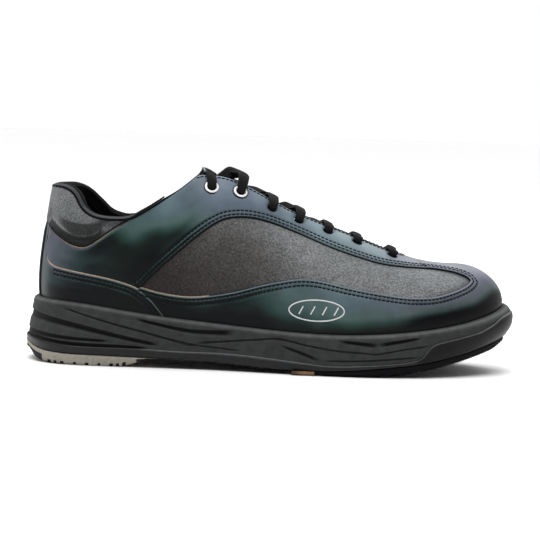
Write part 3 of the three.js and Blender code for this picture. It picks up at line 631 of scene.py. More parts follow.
COAT_ROUGHNESS, ROUGH_VARY = 0.35, 0.08
PATCH_SCALE, WEAR_SCALE = 18, 25  # noise scales of the leather's wide patches and of the wear
PEBBLE_BEND = (0.0022, 0.0022, 0.0022)  # how far noise pushes the pebbles about, in metres
# gains of the painted light in the "shade" attribute: painted highlight at -1, none at 0, painted shade at 1
PAINTED_HIGHLIGHT_GAIN, UNPAINTED_GAIN, PAINTED_SHADE_GAIN = 8.0, 1.0, 0.12  # brightness at shade -1, 0 and 1


def make_material(name, colour, rough, vary=0.12, vary_scale=60, bumps=(), metal=0.0, coat=0.0,
                  hue_and_light_by_facing=None, patches=0.10, specular=0.2, along=None, shaded=False,
                  rearward=REARWARD_LIGHT, painted_light_spots=()):
    """A procedural material in object space.
    bumps: (kind, scale per metre, height in mm); hue_and_light_by_facing: ramp stops over the normal's upward
    part, which paint light and shade by how far each face turns up;
    painted_light_spots: (centre, radius, amount) of patches of painted highlight (amount above zero) and
    painted shade (below zero), which count as turned up or down."""
    m = bpy.data.materials.new(name)
    tree = Nodes(m)
    shader = tree.nodes["Principled BSDF"]
    place = tree.add("TexCoord")
    source = place["Object"]
    if hue_and_light_by_facing:
        # painted light and shade: the colour follows how far each face turns up, so upward faces get a painted
        # sheen and side faces painted shade
        split = tree.add("SeparateXYZ", {0: place["Normal"]})
        turned_to_light = tree.math("MULTIPLY_ADD", split["X"], rearward, split["Z"])
        sway = tree.math("MULTIPLY_ADD", tree.noise(source, PATCH_SCALE)["Fac"], patches, -patches / 2)
        total = tree.math("ADD", tree.math("MULTIPLY_ADD", turned_to_light, 0.5, 0.5), sway)
        for centre, radius, amount in painted_light_spots:
            away = tree.add("VectorMath", {0: source, 1: [v * MM for v in centre]}, operation="DISTANCE")
            near = tree.ranged(away["Value"], 0, radius * MM, amount, 0, interpolation_type="SMOOTHSTEP")
            total = tree.math("ADD", total, near)
        base = tree.ramp(total, hue_and_light_by_facing)
    else:
        base = tree.add("RGB")[0]
        base.default_value = (*colour, 1)
    tone = tree.noise(source, vary_scale, 6)["Fac"]
    out = tree.times(base, tree.ramp(tone, [(0.3, grey(1 - vary)), (0.7, grey(1 + vary))]))
    if along:
        low, high = along[0][0], along[-1][0]
        where = tree.ranged(tree.add("SeparateXYZ", {0: source})["X"], low * MM, high * MM)
        out = tree.times(out, tree.ramp(where, [((x - low) / (high - low), c) for x, c in along]))
    if shaded:
        # painted light from the mesh's "shade" attribute: painted highlights brighten, painted shade darkens
        stored = tree.ranged(tree.add("Attribute", attribute_name="shade")["Fac"], -1, 1)
        out = tree.times(out, tree.ramp(stored, [(0.0, grey(PAINTED_HIGHLIGHT_GAIN)), (0.5, grey(UNPAINTED_GAIN)), (1.0, grey(PAINTED_SHADE_GAIN))]))
    wear = tree.noise(source, WEAR_SCALE, 5)["Fac"]
    normal = None
    for kind, scale, height in bumps:
        if kind == "pebble":
            bend = tree.noise(source, scale * 0.6)["Color"]
            bent = tree.add("VectorMath", {0: bend, 1: PEBBLE_BEND, 2: source}, operation="MULTIPLY_ADD")[0]
            inputs = {"Vector": bent, "Scale": scale, "Smoothness": 0.6}
            cell = tree.add("TexVoronoi", inputs, feature="SMOOTH_F1")
            relief = tree.math("SUBTRACT", 1, cell["Distance"])
            out = tree.times(out, tree.ramp(relief, [(0.35, grey(0.5)), (0.80, grey(1.3))]), 0.8)
        elif kind == "grain":
            relief = tree.noise(source, scale, 4)["Fac"]
        elif kind == "uv_rib":  # ribs across a cord: scale is (along, across) per unit of uv
            uv = tree.add("UVMap", uv_map="uv")[0]
            parts = tree.add("SeparateXYZ", {0: tree.add("Mapping", {"Vector": uv, "Scale": (*scale, 1)})[0]})
            wave_x, wave_y = tree.math("SINE", parts["X"]), tree.math("SINE", parts["Y"])
            relief = tree.math("MULTIPLY_ADD", wave_x, 0.35, wave_y)
            half = tree.math("MULTIPLY_ADD", relief, 0.37, 0.5)
            out = tree.times(out, tree.ramp(half, [(0.0, grey(0.45)), (1.0, grey(1.15))]))
        bump = {"Distance": height * MM, "Strength": 1, "Height": relief}
        if normal is not None:
            bump["Normal"] = normal
        normal = tree.add("Bump", bump)["Normal"]
    roughness = tree.ranged(wear, 0, 1, rough - ROUGH_VARY, rough + ROUGH_VARY)
    tree.feed(shader, {
        "Base Color": out, "Metallic": metal, "Coat Weight": coat, "Coat Roughness": COAT_ROUGHNESS,
        "Specular IOR Level": specular, "Roughness": roughness,
    })
    if normal is not None:
        tree.feed(shader, {"Normal": normal})
    return m


# ---------------------------------------------------------------- seams of the upper, side view, x and z
TOPLINE = {
    LAT: [
        (-139, 106.6), (-128, 106.6), (-121, 103), (-116, 95), (-110.5, 90.8), (-103, 88.9), (-92, 88.8),
        (-85, 90.3), (-76.5, 95.2), (-67.5, 100.8), (-58, 107.2), (-49.5, 114.2), (-42, 121),
    ],
    MED: [
        (-139, 106.6), (-127, 106.6), (-118, 103.6), (-110, 97), (-103, 90.6), (-95, 87.6), (-88, 87.4),
        (-80, 89.6), (-73, 94), (-66, 99.4), (-58, 106), (-49.5, 113.8), (-42, 121),
    ],
}
COLLAR_SEAM = [
    (-140.5, 87.5), (-139, 85), (-136, 79.8), (-127.5, 73.8), (-121, 70.9), (-115, 70.2), (-110, 72),
    (-104, 76.2), (-96, 82), (-85, 89.2), (-74, 96.5), (-65.5, 102.2),
]
HEEL_SEAM = [
    (-136.8, 81), (-137.4, 76), (-138.6, 71), (-137.6, 62.6), (-133, 58.4), (-124, 56.5), (-112, 54.6),
    (-98, 52.2), (-86, 49), (-79.5, 45.9), (-71, 38.6), (-62, 27),
]
WINDOW_TOP = [
    (-79.5, 48), (-69.4, 58.6), (-54.4, 72.6), (-42.4, 83), (-32.2, 89.8), (-24, 91.9), (-14, 92),
    (-2, 89.6), (16, 83.4), (35, 76), (53.5, 70.2), (66, 67), (80, 65.2), (97, 64), (108, 62.6),
    (114, 61.2), (119, 59.3), (121.5, 57),
]
WINDOW_BOTTOM = [
    (121.5, 57), (119, 54.6), (115, 52.6), (108, 50.2), (100, 48.2), (91.5, 47.4), (81, 47.6),
    (66.6, 49.4), (48, 52.4), (29.5, 56), (20, 56.8), (11, 56), (-6, 52.2), (-23, 47.2), (-41, 43.8),
    (-54, 43.2), (-69, 45.2), (-79.5, 48),
]
SLOT = [(-62, 15.5), (-48, 13.5), (-20, 11.5), (20, 10), (60, 9), (72, 8), (77.5, 5), (79, 0)]
VAMP_SEAM = [(97, 30), (88, 0)]  # x and distance from the middle, over the front of the throat


def slot_centre(x):
    return 0.5 + np.maximum(x, 0) * 0.02


def slot_half(x):
    return np.interp(x, *np.array(SLOT).T)


def seam(points, side, samples=5):
    """A side-view seam laid on one half of the upper."""
    return fit(spline(points, (len(points) - 1) * samples + 1), SIDE, HALF[side])


def over_slot(points, side, samples=8):
    """A plan-view line of x and distance from the slot's middle, laid on one half of the upper."""
    p = np.array(points, float)
    run = np.linspace(0, len(p) - 1, (len(p) - 1) * samples + 1)
    x, y = np.interp(run, range(len(p)), p[:, 0]), np.interp(run, range(len(p)), p[:, 1])
    return fit(np.stack([x, slot_centre(x) + side * y], 1), PLAN, HALF[side], (0.45, 1.0))


def straight(a, b, n=30):
    """A straight run of parameters."""
    return np.linspace(a, b, n)


def cross(path, other):
    """Index along each path where they come nearest."""
    gap = np.linalg.norm(upper(*path.T)[:, None] - upper(*other.T)[None], axis=2)
    return np.unravel_index(gap.argmin(), gap.shape)


def on_ridge(x, side):
    """Parameters of the ridge's point at x."""
    s = np.interp(x, ridge_x, ridge_s)
    return np.array([s if side == LAT else 1 - s, 1.0])


def all_seams(side):
    way = {
        "topline": seam(TOPLINE[side], side),
        "collar": seam(COLLAR_SEAM, side),
        "collar_low": seam([(x, z - TUCK) for x, z in COLLAR_SEAM], side),
        "heel": seam(HEEL_SEAM, side),
        "window_top": seam(WINDOW_TOP, side),
        "window_bottom": seam(WINDOW_BOTTOM, side),
        "slot": over_slot(SLOT, side),
        "vamp": over_slot(VAMP_SEAM, side),
    }
    way["vamp"][-1] = on_ridge(VAMP_SEAM[-1][0], side)
    way["slot"][-1] = on_ridge(SLOT[-1][0], side)
    # the topline ends where it meets the slot's edge
    i, j = cross(way["topline"][-14:], way["slot"])
    i += len(way["topline"]) - 14
    way["topline"] = way["topline"][: i + 1]
    way["slot"] = np.vstack([way["topline"][-1:], way["slot"][j + 1 :]])
    # the vamp seam ends on the window's edge
    i, j = cross(way["vamp"], way["window_top"])
    way["vamp"] = np.vstack([way["window_top"][j : j + 1], way["vamp"][i + 1 :]])
    way["window_split"] = j
    # the collar seam runs up to the topline
    i, j = cross(way["collar"][-16:], way["topline"][-40:])
    way["collar"] = way["collar"][: len(way["collar"]) - 16 + i]
    way["collar_low"] = way["collar_low"][: len(way["collar"])]
    way["collar_split"] = len(way["topline"]) - 40 + j
    return way


TUCK = 3.0  # how far a lower layer runs on under the one sewn over it
seams = {side: all_seams(side) for side in (LAT, MED)}
FOOT = -0.03  # t at the lower edge of the leather, tucked behind the midsole's rim
BACKSTAY_HALF = 8.0
HEEL_LIFT, GUARD_LIFT = 0.9, 0.45  # how far the heel overlay and the mudguard lie above the quarter


def quarter_outline(side):
    """Eyestay and quarter, from the heel seam to the vamp."""
    way = seams[side]
    tucked = inset(way["heel"], TUCK, flip=side)
    i, j = cross(tucked[:12], way["collar"])
    heel = tucked[i : cross(tucked, way["window_top"][:1])[0] + 1]
    collar = way["collar"][j:]
    forward = way["topline"][way["collar_split"] :]
    return outline(
        ("hidden", heel),
        ("dark", way["window_top"][: way["window_split"] + 1]),
        ("dark", way["vamp"]),
        ("dark", np.vstack([way["vamp"][-1:], way["slot"][::-1]])),
        ("dark", forward[::-1]),
        ("raw", np.vstack([forward[:1], collar[::-1]])),
        ("hidden", np.vstack([collar[:1], heel[:1]])),
    )


def foot_line(a, b):
    """The leather's lower edge from parameter s = a to b."""
    return np.stack([np.linspace(a, b, 120), np.full(120, FOOT)], 1)


def toe_outline():
    """Toe cap and both mudguards in one piece, round the front of the shoe."""
    runs = {}
    for side in (LAT, MED):
        way = seams[side]
        tucked = inset(way["heel"], TUCK, flip=side)
        heel = tucked[cross(tucked, way["window_bottom"][-1:])[0] :]
        bottom = way["window_bottom"]
        pale = upper(*bottom.T)[:, 0] < -36
        foot = np.array([[heel[-1, 0], FOOT]])
        runs[side] = [
            ("join", np.stack([np.linspace(0.5, way["vamp"][-1, 0], 80), np.ones(80)], 1)),
            ("hidden", way["vamp"][::-1]),
            ("dark", np.vstack([way["window_top"][way["window_split"] :], bottom[~pale], bottom[pale][:1]])),
            ("raw", np.vstack([bottom[pale], heel[:1]])),
            ("hidden", np.vstack([heel, foot])),
            ("hidden", foot_line(heel[-1, 0], 0.5)),
        ]
    back = [(kind, path[::-1]) for kind, path in runs[MED][::-1]]
    return outline(*runs[LAT], *back)


def strip_edge(side, top):
    """The backstay's edge from height `top` down to the leather's foot."""
    z = np.linspace(top, 39, 30)
    y = np.full(30, MIDDLE + side * BACKSTAY_HALF)
    s_range = (0.0, 0.08) if side == LAT else (0.92, 1.0)
    path = fit(np.stack([y, z], 1), [1, 2], s_range)
    return np.vstack([path, [path[-1, 0], FOOT]])


def heel_outline(side):
    """The heel overlay of one side, from the backstay to the waist."""
    way = seams[side]
    edge = strip_edge(side, 84.5)
    heel = way["heel"]
    return outline(
        ("hidden", np.vstack([edge, foot_line(edge[-1, 0], heel[-1, 0])])),
        ("raw", np.vstack([[heel[-1, 0], FOOT], heel[::-1]])),
        ("hidden", np.vstack([heel[:1], edge[:1]])),
    )


def wrapped(path, side):
    """Medial parameters carried below zero, so that a path can run across the heel."""
    return path - [1.0, 0.0] if side == MED else path


def backstay_outline():
    lat, med = strip_edge(LAT, 89), wrapped(strip_edge(MED, 89), MED)
    return outline(
        ("dark", lat), ("hidden", np.vstack([lat[-1:], med[-1:]])), ("dark", med[::-1]),
        ("raw", straight(med[0], lat[0], 10)),
    )


def collar_outline():
    """The padded collar, from one side of the ankle round the heel to the other."""
    top = {
        side: wrapped(seams[side]["topline"][: seams[side]["collar_split"] + 2], side) for side in (LAT, MED)
    }
    low = {side: wrapped(seams[side]["collar_low"], side) for side in (LAT, MED)}
    return outline(
        ("hidden", np.vstack([low[MED][::-1], low[LAT]])),
        ("hidden", np.vstack([low[LAT][-1:], top[LAT][-1:]])),
        ("hidden", np.vstack([top[LAT][::-1], top[MED]])),
        ("hidden", np.vstack([top[MED][-1:], low[MED][-1:]])),
    )


def window_outline(side, margin=3.5):
    """The pebbled side panel, which runs on under the overlays round its window."""
    way = seams[side]
    path = np.vstack([way["window_top"], way["window_bottom"][1:-1]])
    path = evenly(path, 2.0, of=upper(*path.T))[:-1]
    if area(path) > 0:
        path = path[::-1]
    grown = inset(path, margin, closed=True)
    keep = nearest(upper(*grown.T), upper(*np.vstack([path, path[:1]]).T))[0] > margin * 0.8
    grown = grown[keep]
    return outline(("hidden", np.vstack([grown, grown[:1]])), spacing=1.5)


LACE_ROWS = [72.8, 51, 33, 15, -1.5, -21, -38.5]  # x of each pair of holes from the throat up
HOLE_INSET = 6.4
HOLE_R = (3.1, 3.6)  # plain holes; holes with an eyelet


def hole_xy(row, side):
    x = LACE_ROWS[row]
    return x, slot_centre(x) + side * (slot_half(x) + HOLE_INSET)


def hole_st(row, side):
    return fit([hole_xy(row, side)], PLAN, HALF[side], (0.45, 1.0))[0]

# ---------------------------------------------------------------- the shoe's materials
# The leathers' colours are painted light by how far each face turns up: painted shade, near black, on their
# sides, and a painted sheen where they face up; the smooth leather's own shifting hue runs through green to
# blue grey along the same ramp.
LEATHER_HUE_AND_LIGHT = [
    (0.0, (0.002, 0.002, 0.003)), (0.50, (0.003, 0.0035, 0.004)), (0.53, (0.008, 0.012, 0.011)),
    (0.57, (0.022, 0.041, 0.036)), (0.63, (0.062, 0.084, 0.084)), (0.74, (0.076, 0.092, 0.112)),
    (0.86, (0.115, 0.136, 0.160)), (1.0, (0.135, 0.150, 0.166)),
]
PEBBLE_HUE_AND_LIGHT = [
    (0.0, (0.014, 0.011, 0.011)), (0.50, (0.024, 0.019, 0.018)), (0.62, (0.070, 0.066, 0.064)),
    (0.74, (0.165, 0.170, 0.174)), (0.9, (0.150, 0.162, 0.170)),
]
COLLAR_PAINTED_LIGHT = [
    (0.0, (0.010, 0.010, 0.010)), (0.45, (0.026, 0.027, 0.028)), (0.53, (0.115, 0.122, 0.124)),
    (0.7, (0.16, 0.167, 0.172)), (1.0, (0.12, 0.125, 0.13)),
]
# and along the shoe: purple at the heel, green over the quarter and the mudguard, purple at the toe; the
# brighter factors over the quarter, about x -62 to -30, are a painted highlight
HUE_AND_HIGHLIGHT_ALONG = [
    (-150, (1.10, 0.92, 1.12)), (-118, (0.98, 0.90, 1.08)), (-92, (0.80, 1.05, 0.98)),
    (-62, (1.05, 1.26, 1.20)), (-30, (1.25, 1.30, 1.42)), (0, (0.98, 1.10, 1.14)),
    (44, (1.04, 1.25, 1.18)), (92, (1.04, 0.97, 1.05)), (150, (1.08, 0.96, 1.06)),
]
# painted light: patches of painted highlight (amount above zero) and painted shade (below zero) where the
# leather is lighter or darker than its slope's painted light alone: centre, radius, amount
PAINTED_LIGHT_SPOTS = [
    ((-67, -32, 98), 21, 0.20), ((-84, -36, 87), 18, 0.12), ((-58, -38, 86), 18, -0.04),
    ((-102, -38, 77), 22, -0.05), ((-52, -22, 114), 15, -0.08), ((44, -43, 45), 28, 0.05),
    ((103, -38, 40), 40, -0.075), ((137, -12, 46), 26, -0.10), ((-67, 32, 98), 21, 0.20),
    ((-84, 36, 87), 18, 0.12), ((-58, 38, 86), 18, -0.04), ((-102, 38, 77), 22, -0.05),
    ((44, 43, 45), 28, 0.05), ((103, 38, 40), 40, -0.075),
]
leather = make_material("smooth_leather", None, 0.38, vary=0.14, vary_scale=90, hue_and_light_by_facing=LEATHER_HUE_AND_LIGHT, patches=0.22,
                        bumps=[("grain", 900, 0.05)], specular=0.1, along=HUE_AND_HIGHLIGHT_ALONG, painted_light_spots=PAINTED_LIGHT_SPOTS)
heel_leather = make_material("heel_leather", None, 0.42, vary=0.14, vary_scale=90, hue_and_light_by_facing=LEATHER_HUE_AND_LIGHT,
                             patches=0.16, bumps=[("grain", 900, 0.05)], specular=0.12, along=HUE_AND_HIGHLIGHT_ALONG,
                             rearward=-0.10)
pebbled = make_material("pebbled_leather", None, 0.55, vary=0.15, vary_scale=120, hue_and_light_by_facing=PEBBLE_HUE_AND_LIGHT,
                        bumps=[("pebble", 900, 0.40), ("grain", 2500, 0.04)], shaded=True)
# the collar's spots: painted shade over its lower bulge and a painted highlight near the topline behind the
# heel
collar_leather = make_material("collar_leather", None, 0.58, vary=0.16, vary_scale=100, hue_and_light_by_facing=COLLAR_PAINTED_LIGHT,
                               bumps=[("pebble", 1100, 0.16), ("grain", 260, 0.14)], shaded=True,
                               painted_light_spots=[((-118, -30, 80), 22, -0.05), ((-118, 30, 80), 22, -0.05),
                                      ((-134, -22, 101), 22, 0.04), ((-134, 22, 101), 22, 0.04)])
edge_dark = make_material("dark_edge", (0.004, 0.004, 0.005), 0.7, bumps=[("grain", 2500, 0.06)],
                          specular=0.1)
edge_raw = make_material("raw_edge", (0.30, 0.235, 0.165), 0.9, vary=0.25, vary_scale=600,
                         bumps=[("grain", 3500, 0.10)])
backstay_cloth = make_material("backstay_cloth", (0.016, 0.018, 0.019), 0.85, vary=0.45, vary_scale=900,
                               bumps=[("grain", 1800, 0.25)])
thread = make_material("thread", (0.004, 0.004, 0.005), 0.6, vary=0.3, vary_scale=3000,
                       bumps=[("grain", 5000, 0.08)], specular=0.12)
binding_cloth = make_material("binding_cloth", (0.036, 0.039, 0.041), 0.8, vary=0.35, vary_scale=1500,
                              bumps=[("grain", 2600, 0.2)])
lining_cloth = make_material("lining_cloth", (0.0035, 0.0035, 0.004), 0.95, vary=0.4, vary_scale=1500,
                             bumps=[("grain", 2200, 0.2)], specular=0.08)
foam = make_material("foam", (0.012, 0.012, 0.013), 0.95, vary=0.15, vary_scale=900,
                     bumps=[("grain", 3000, 0.3)])
stiff_sheet = make_material("stiff_sheet", (0.06, 0.058, 0.055), 0.85, vary=0.12,
                            bumps=[("grain", 1500, 0.1)])
board_fibre = make_material("board_fibre", (0.27, 0.21, 0.14), 0.9, vary=0.2, bumps=[("grain", 1500, 0.15)])
steel = make_material("steel", (0.42, 0.43, 0.44), 0.35, metal=1.0, bumps=[("grain", 800, 0.02)])
midsole_foam = make_material("midsole_foam", (0.030, 0.031, 0.031), 0.72, vary=0.22, vary_scale=180,
                             bumps=[("grain", 1300, 0.12), ("grain", 220, 0.12)], shaded=True)
outsole_rubber = make_material("outsole_rubber", (0.0085, 0.0088, 0.0096), 0.42, vary=0.25, vary_scale=250,
                               bumps=[("grain", 900, 0.06)], specular=0.25, shaded=True)
wrap_rubber = make_material("wrap_rubber", (0.0068, 0.0072, 0.0069), 0.45, vary=0.3, vary_scale=250,
                            bumps=[("grain", 900, 0.08)], specular=0.14, shaded=True)
tread_rubber = make_material("tread_rubber", (0.004, 0.004, 0.005), 0.75, vary=0.3,
                             bumps=[("grain", 1500, 0.2)], specular=0.1)
pad_felt = make_material("pad_felt", (0.33, 0.305, 0.26), 0.9, vary=0.14, vary_scale=500,
                         bumps=[("grain", 2200, 0.15)])
pad_edge = make_material("pad_edge", (0.007, 0.008, 0.013), 0.7, vary=0.3, vary_scale=600,
                         bumps=[("grain", 1500, 0.15)])
fastener_hook = make_material("hook_fabric", (0.012, 0.012, 0.013), 0.95, vary=0.4, vary_scale=2500,
                              bumps=[("grain", 3500, 0.4)])
fastener_loop = make_material("loop_fabric", (0.03, 0.03, 0.033), 0.98, vary=0.4, vary_scale=2500,
                              bumps=[("grain", 3000, 0.4)])
tan_leather = make_material("tan_leather", (0.25, 0.15, 0.08), 0.7, vary=0.3, vary_scale=400,
                            bumps=[("grain", 1500, 0.12)],
                            along=[(9, grey(0.08)), (16, grey(0.3)), (22, grey(1)), (30, grey(1.1))])
white_ring = make_material("eyelet_enamel", (0.86, 0.86, 0.85), 0.25, vary=0.05, coat=0.5)
eyelet_dark = make_material("eyelet_dark", (0.006, 0.006, 0.007), 0.4, vary=0.2)
lace_weave = make_material("lace_weave", (0.013, 0.013, 0.014), 0.85, vary=0.25, vary_scale=2500,
                           bumps=[("uv_rib", (2 * math.pi * 0.9, 2 * math.pi * 0.8), 0.4)], specular=0.15)
insole_cloth = make_material("insole_cloth", (0.010, 0.011, 0.013), 0.95, vary=0.35, vary_scale=1500,
                             bumps=[("grain", 2400, 0.3)], specular=0.1)
aglet_plastic = make_material("aglet_plastic", (0.02, 0.02, 0.022), 0.3, vary=0.15, coat=0.3)
mark_thread = make_material("mark_thread", (0.60, 0.61, 0.61), 0.6, vary=0.12, vary_scale=3000,
                            bumps=[("grain", 4000, 0.1)])

# ---------------------------------------------------------------- the leather pieces
PIECE = [leather, edge_dark, edge_raw]


def guard_lift(p):
    """The mudguard's rear stretch lies over the quarter; further on it lies level with it."""
    return GUARD_LIFT * smooth(-p[:, 0], 40, 62) + 0.25 * smooth(p[:, 0], 70, 92)


def heel_lift(p):
    return HEEL_LIFT * smooth(p[:, 0], -141, -134)


for side in (LAT, MED):
    way = seams[side]
    split = way["window_split"]
    quarter_run = way["window_top"][: split + 1]
    toe_run = np.vstack([way["window_top"][split:], way["window_bottom"][1:]])
    sew(quarter_run, STITCH_ROWS, side * -1)
    sew(toe_run, STITCH_ROWS, side * -1, guard_lift)
    sew(way["heel"], STITCH_ROWS, side, heel_lift, where=lambda p: p[:, 0] > -132)
    sew(way["slot"], (1.9,), side)
    sew(way["collar"], (1.2,), side * -1, where=lambda p: p[:, 0] > -136, tight=True)
sewn = np.vstack(sewn_lines)
stitch_mesh("stitching", stitch_runs, thread)


def plain(d):
    return 0.0 * d


window_runs = [seams[side][run] for side in (LAT, MED) for run in ("window_top", "window_bottom")]
window_edge = upper(*np.vstack(window_runs).T)


def window_shade(p):
    """Painted shade on the side panel along its edge towards the toe, where it sinks under the overlay."""
    return 0.6 * (1 - smooth(nearest(p, window_edge)[0], 1.2, 4.5)) * smooth(p[:, 0], 90, 112)


for side, word in ((LAT, "lateral"), (MED, "medial")):
    panel("quarter_overlay_" + word + "_leather", quarter_outline(side), PIECE,
                                      holes=[(hole_st(row, side), HOLE_R[row > 4]) for row in range(7)])
    panel("heel_overlay_" + word + "_leather", heel_outline(side),
                                   [heel_leather, edge_dark, edge_raw],
                                   bottom=0.0, top=heel_lift)
    panel("side_panel_" + word + "_leather", window_outline(side),
                                   [pebbled, edge_dark], bottom=-2.4, top=-1.2, profile=plain, step=1.8,
                                   shade=window_shade)
panel("toe_overlay_leather", toe_outline(), PIECE, top=guard_lift)


def backstay_height(p):
    return 0.9 - 1.1 * smooth(p[:, 2], 78, 90)


panel("backstay_tape", backstay_outline(), [backstay_cloth, edge_dark, edge_raw],
                           bottom=-0.4, top=backstay_height)

collar_head = upper(*np.vstack([seams[LAT]["topline"], seams[MED]["topline"]]).T)
# where the foam starts, above the collar's lower seam: x and z
CREASE = [
    (-144, 97), (-139.6, 91.3), (-132.5, 83.8), (-126, 79.3), (-120.7, 77.3), (-111.7, 77.4), (-103, 81.5),
    (-93, 88), (-80, 96),
]
crease_path = np.vstack([upper(*fit(spline(CREASE, 90), SIDE, HALF[side]).T) for side in (LAT, MED)])


def above_crease(p):
    """Distance over the collar's crease, less than zero under it; the crease dies out behind the heel."""
    d = nearest(p, crease_path)[0] * np.where(p[:, 2] > curve(CREASE)(p[:, 0]), 1, -1)
    return d + 12 * (1 - smooth(np.abs(p[:, 1] - MIDDLE), 5, 13))


def collar_height(p):
    """The collar swells from a flat strip above its lower seam, with a crease where the foam begins."""
    d = above_crease(p)
    rearward = smooth(-p[:, 0], 98, 110)
    heel = smooth(-p[:, 0], 128, 139)  # flatter round the back of the heel
    full = smooth(-p[:, 0], 66, 84) * (1 - 0.62 * heel)
    swell = 2.9 * smooth(d, -0.2, 9)
    rounding = 1.9 * (1 - smooth(nearest(p, collar_head)[0], -2, 8))
    recess = 0.7 * rearward * (1 - heel) * (1 - smooth(d, -1.6, 0.4))
    return -1.25 + 0.9 * heel + (swell - rounding) * full - recess


def collar_shade(p):
    """Painted shade in the flat strip, with a painted highlight along the crease over it."""
    d = above_crease(p)
    rearward = smooth(-p[:, 0], 98, 108)
    strip = 0.95 * rearward * (1 - smooth(d, -0.8, 0))
    line = 0.16 * rearward * np.exp(-(((d - 0.5) / 0.6) ** 2))
    return strip - line


panel("collar_panel_leather", collar_outline(), [collar_leather, edge_dark],
                         bottom=-2.4, top=collar_height, profile=plain, step=1.1,
                         shade=collar_shade)
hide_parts("quarter_overlay_lateral")
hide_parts("quarter_overlay_medial")
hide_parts("heel_overlay_lateral")
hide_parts("heel_overlay_medial")
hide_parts("side_panel_lateral")
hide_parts("side_panel_medial")
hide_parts("toe_overlay")
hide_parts("backstay")
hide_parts("collar_panel")


# ---------------------------------------------------------------- a plain mark sewn on the mudguard
MARK_WIDTH = 0.75


def ribbon(path, lift=0.12):
    """A narrow embroidered line along a side-view path on the lateral mudguard."""
    st = fit(evenly(np.array(path, float), 0.6), SIDE, HALF[LAT], (0.0, 0.6))
    left, right = inset(st, MARK_WIDTH / 2), inset(st, MARK_WIDTH / 2, flip=-1)
    rows = [upper(*left.T, -0.05), upper(*left.T, lift), upper(*st.T, lift + 0.15), upper(*right.T, lift),
            upper(*right.T, -0.05)]
    return np.vstack(rows), grid_faces(5, len(st))


turn = np.linspace(0, 2 * math.pi, 60)
MARK = [np.stack([27 + 16.5 * np.cos(turn), 38.6 + 6.2 * np.sin(turn)], 1)]
MARK += [np.array([(27 - 10.5 + 7 * k, 36.2), (27 - 8 + 7 * k, 41)], float) for k in range(4)]
mark_points, mark_faces, count = [], [], 0
for path in MARK:
    points, faces = ribbon(path)
    mark_points.append(points)
    mark_faces.append(faces + count)
    count += len(points)
add_mesh("plain_side_mark", np.vstack(mark_points), np.vstack(mark_faces), materials=[mark_thread])

# ---------------------------------------------------------------- midsole
# Carved lines of the midsole's wall, x and z; below each line the wall drops back and swells out again.
CARVING = [
    # depth, thickness at its rear and front end, points
    (1.0, 1.0, 1.4, [(-128, 35), (-98.1, 27.2), (-74.5, 21.7), (-50.2, 16.2), (-40, 15.4)]),
    (0.9, 1.2, 1.0, [(-46, 16.6), (-29.8, 18.2), (-8.3, 20.4), (4.6, 21.5), (22, 18.4), (39.3, 16.1),
                     (64, 14.8)]),
    (0.9, 0.9, 0.9, [(56, 14.4), (64, 14.8), (79.9, 17.7), (97.7, 20.3)]),
    (1.6, 1.4, 3.0, [(-82.6, 30.4), (-69.6, 27.7), (-55.3, 25.1), (-43, 24.1), (-21.4, 24.7)]),
    (1.9, 4.4, 1.5, [(-152, 31.4), (-146.2, 30.3), (-122.6, 26.2), (-100.8, 21.7), (-83.5, 18), (-66, 14.8)]),
    (1.6, 3.2, 1.0, [(-152, 20.4), (-148.3, 19.6), (-129.7, 17.7), (-105, 16.3), (-96, 16)]),
    (1.6, 2.8, 1.1, [(-152, 17.6), (-148, 16.9), (-136, 15.2), (-119, 13.9), (-90, 13.2), (-72, 12.6)]),
    (0.8, 0.9, 0.9, [(-55.6, 15.4), (-38.4, 14.8), (-16.7, 13.1)]),
    (1.3, 1.2, 2.2, [(4.7, 18), (17.8, 14.3), (30.9, 9.7)]),
    (0.9, 0.9, 0.9, [(30.9, 9.7), (56.7, 10.6), (80.1, 12.5), (90.5, 13.2)]),
    (1.7, 1.2, 2.4, [(39.1, 22.2), (63.2, 20.5), (66, 20.6)]),
    (1.7, 2.4, 1.0, [(63.2, 20.5), (76.1, 22.6), (92, 25)]),
]
FADE = 7.0  # how far from its end a carved line reaches full depth


def carved(x, z):
    """How far the midsole's wall is cut back at x and z, and how much painted shade falls in the band below
    each line.
    """
    depth, dark = 0.0, 0.0
    for deep, rear, front, points in CARVING:
        line = curve(points)(x)
        start, end = points[0][0], points[-1][0]
        fade = smooth(x, start, start + (FADE if start > -150 else 0.5)) * smooth(-x, -end, FADE - end)
        thick = np.interp(x, [start, end], [rear, front])
        below = line - z
        cut_in = smooth(below, -0.25, 0.3) * (1 - smooth(below, 0.6 * thick, 1.6 * thick))
        shallow = 1 - 0.6 * smooth(-x, 140, 151)  # round the heel
        depth = np.maximum(depth, deep * fade * cut_in * shallow)
        # painted shade in the recessed band below each carved line
        band = smooth(below, -0.3, 0.2) * (1 - smooth(below, 0.75 * thick, 1.15 * thick))
        dark = np.maximum(dark, fade * band * min(1, deep / 1.4))
    return depth, dark


AROUND = 1000
ring_s = np.arange(AROUND) / AROUND


def ring(s, d, z):
    xy = plan(s, d)
    return np.column_stack([xy, z(xy[:, 0]) if callable(z) else z])


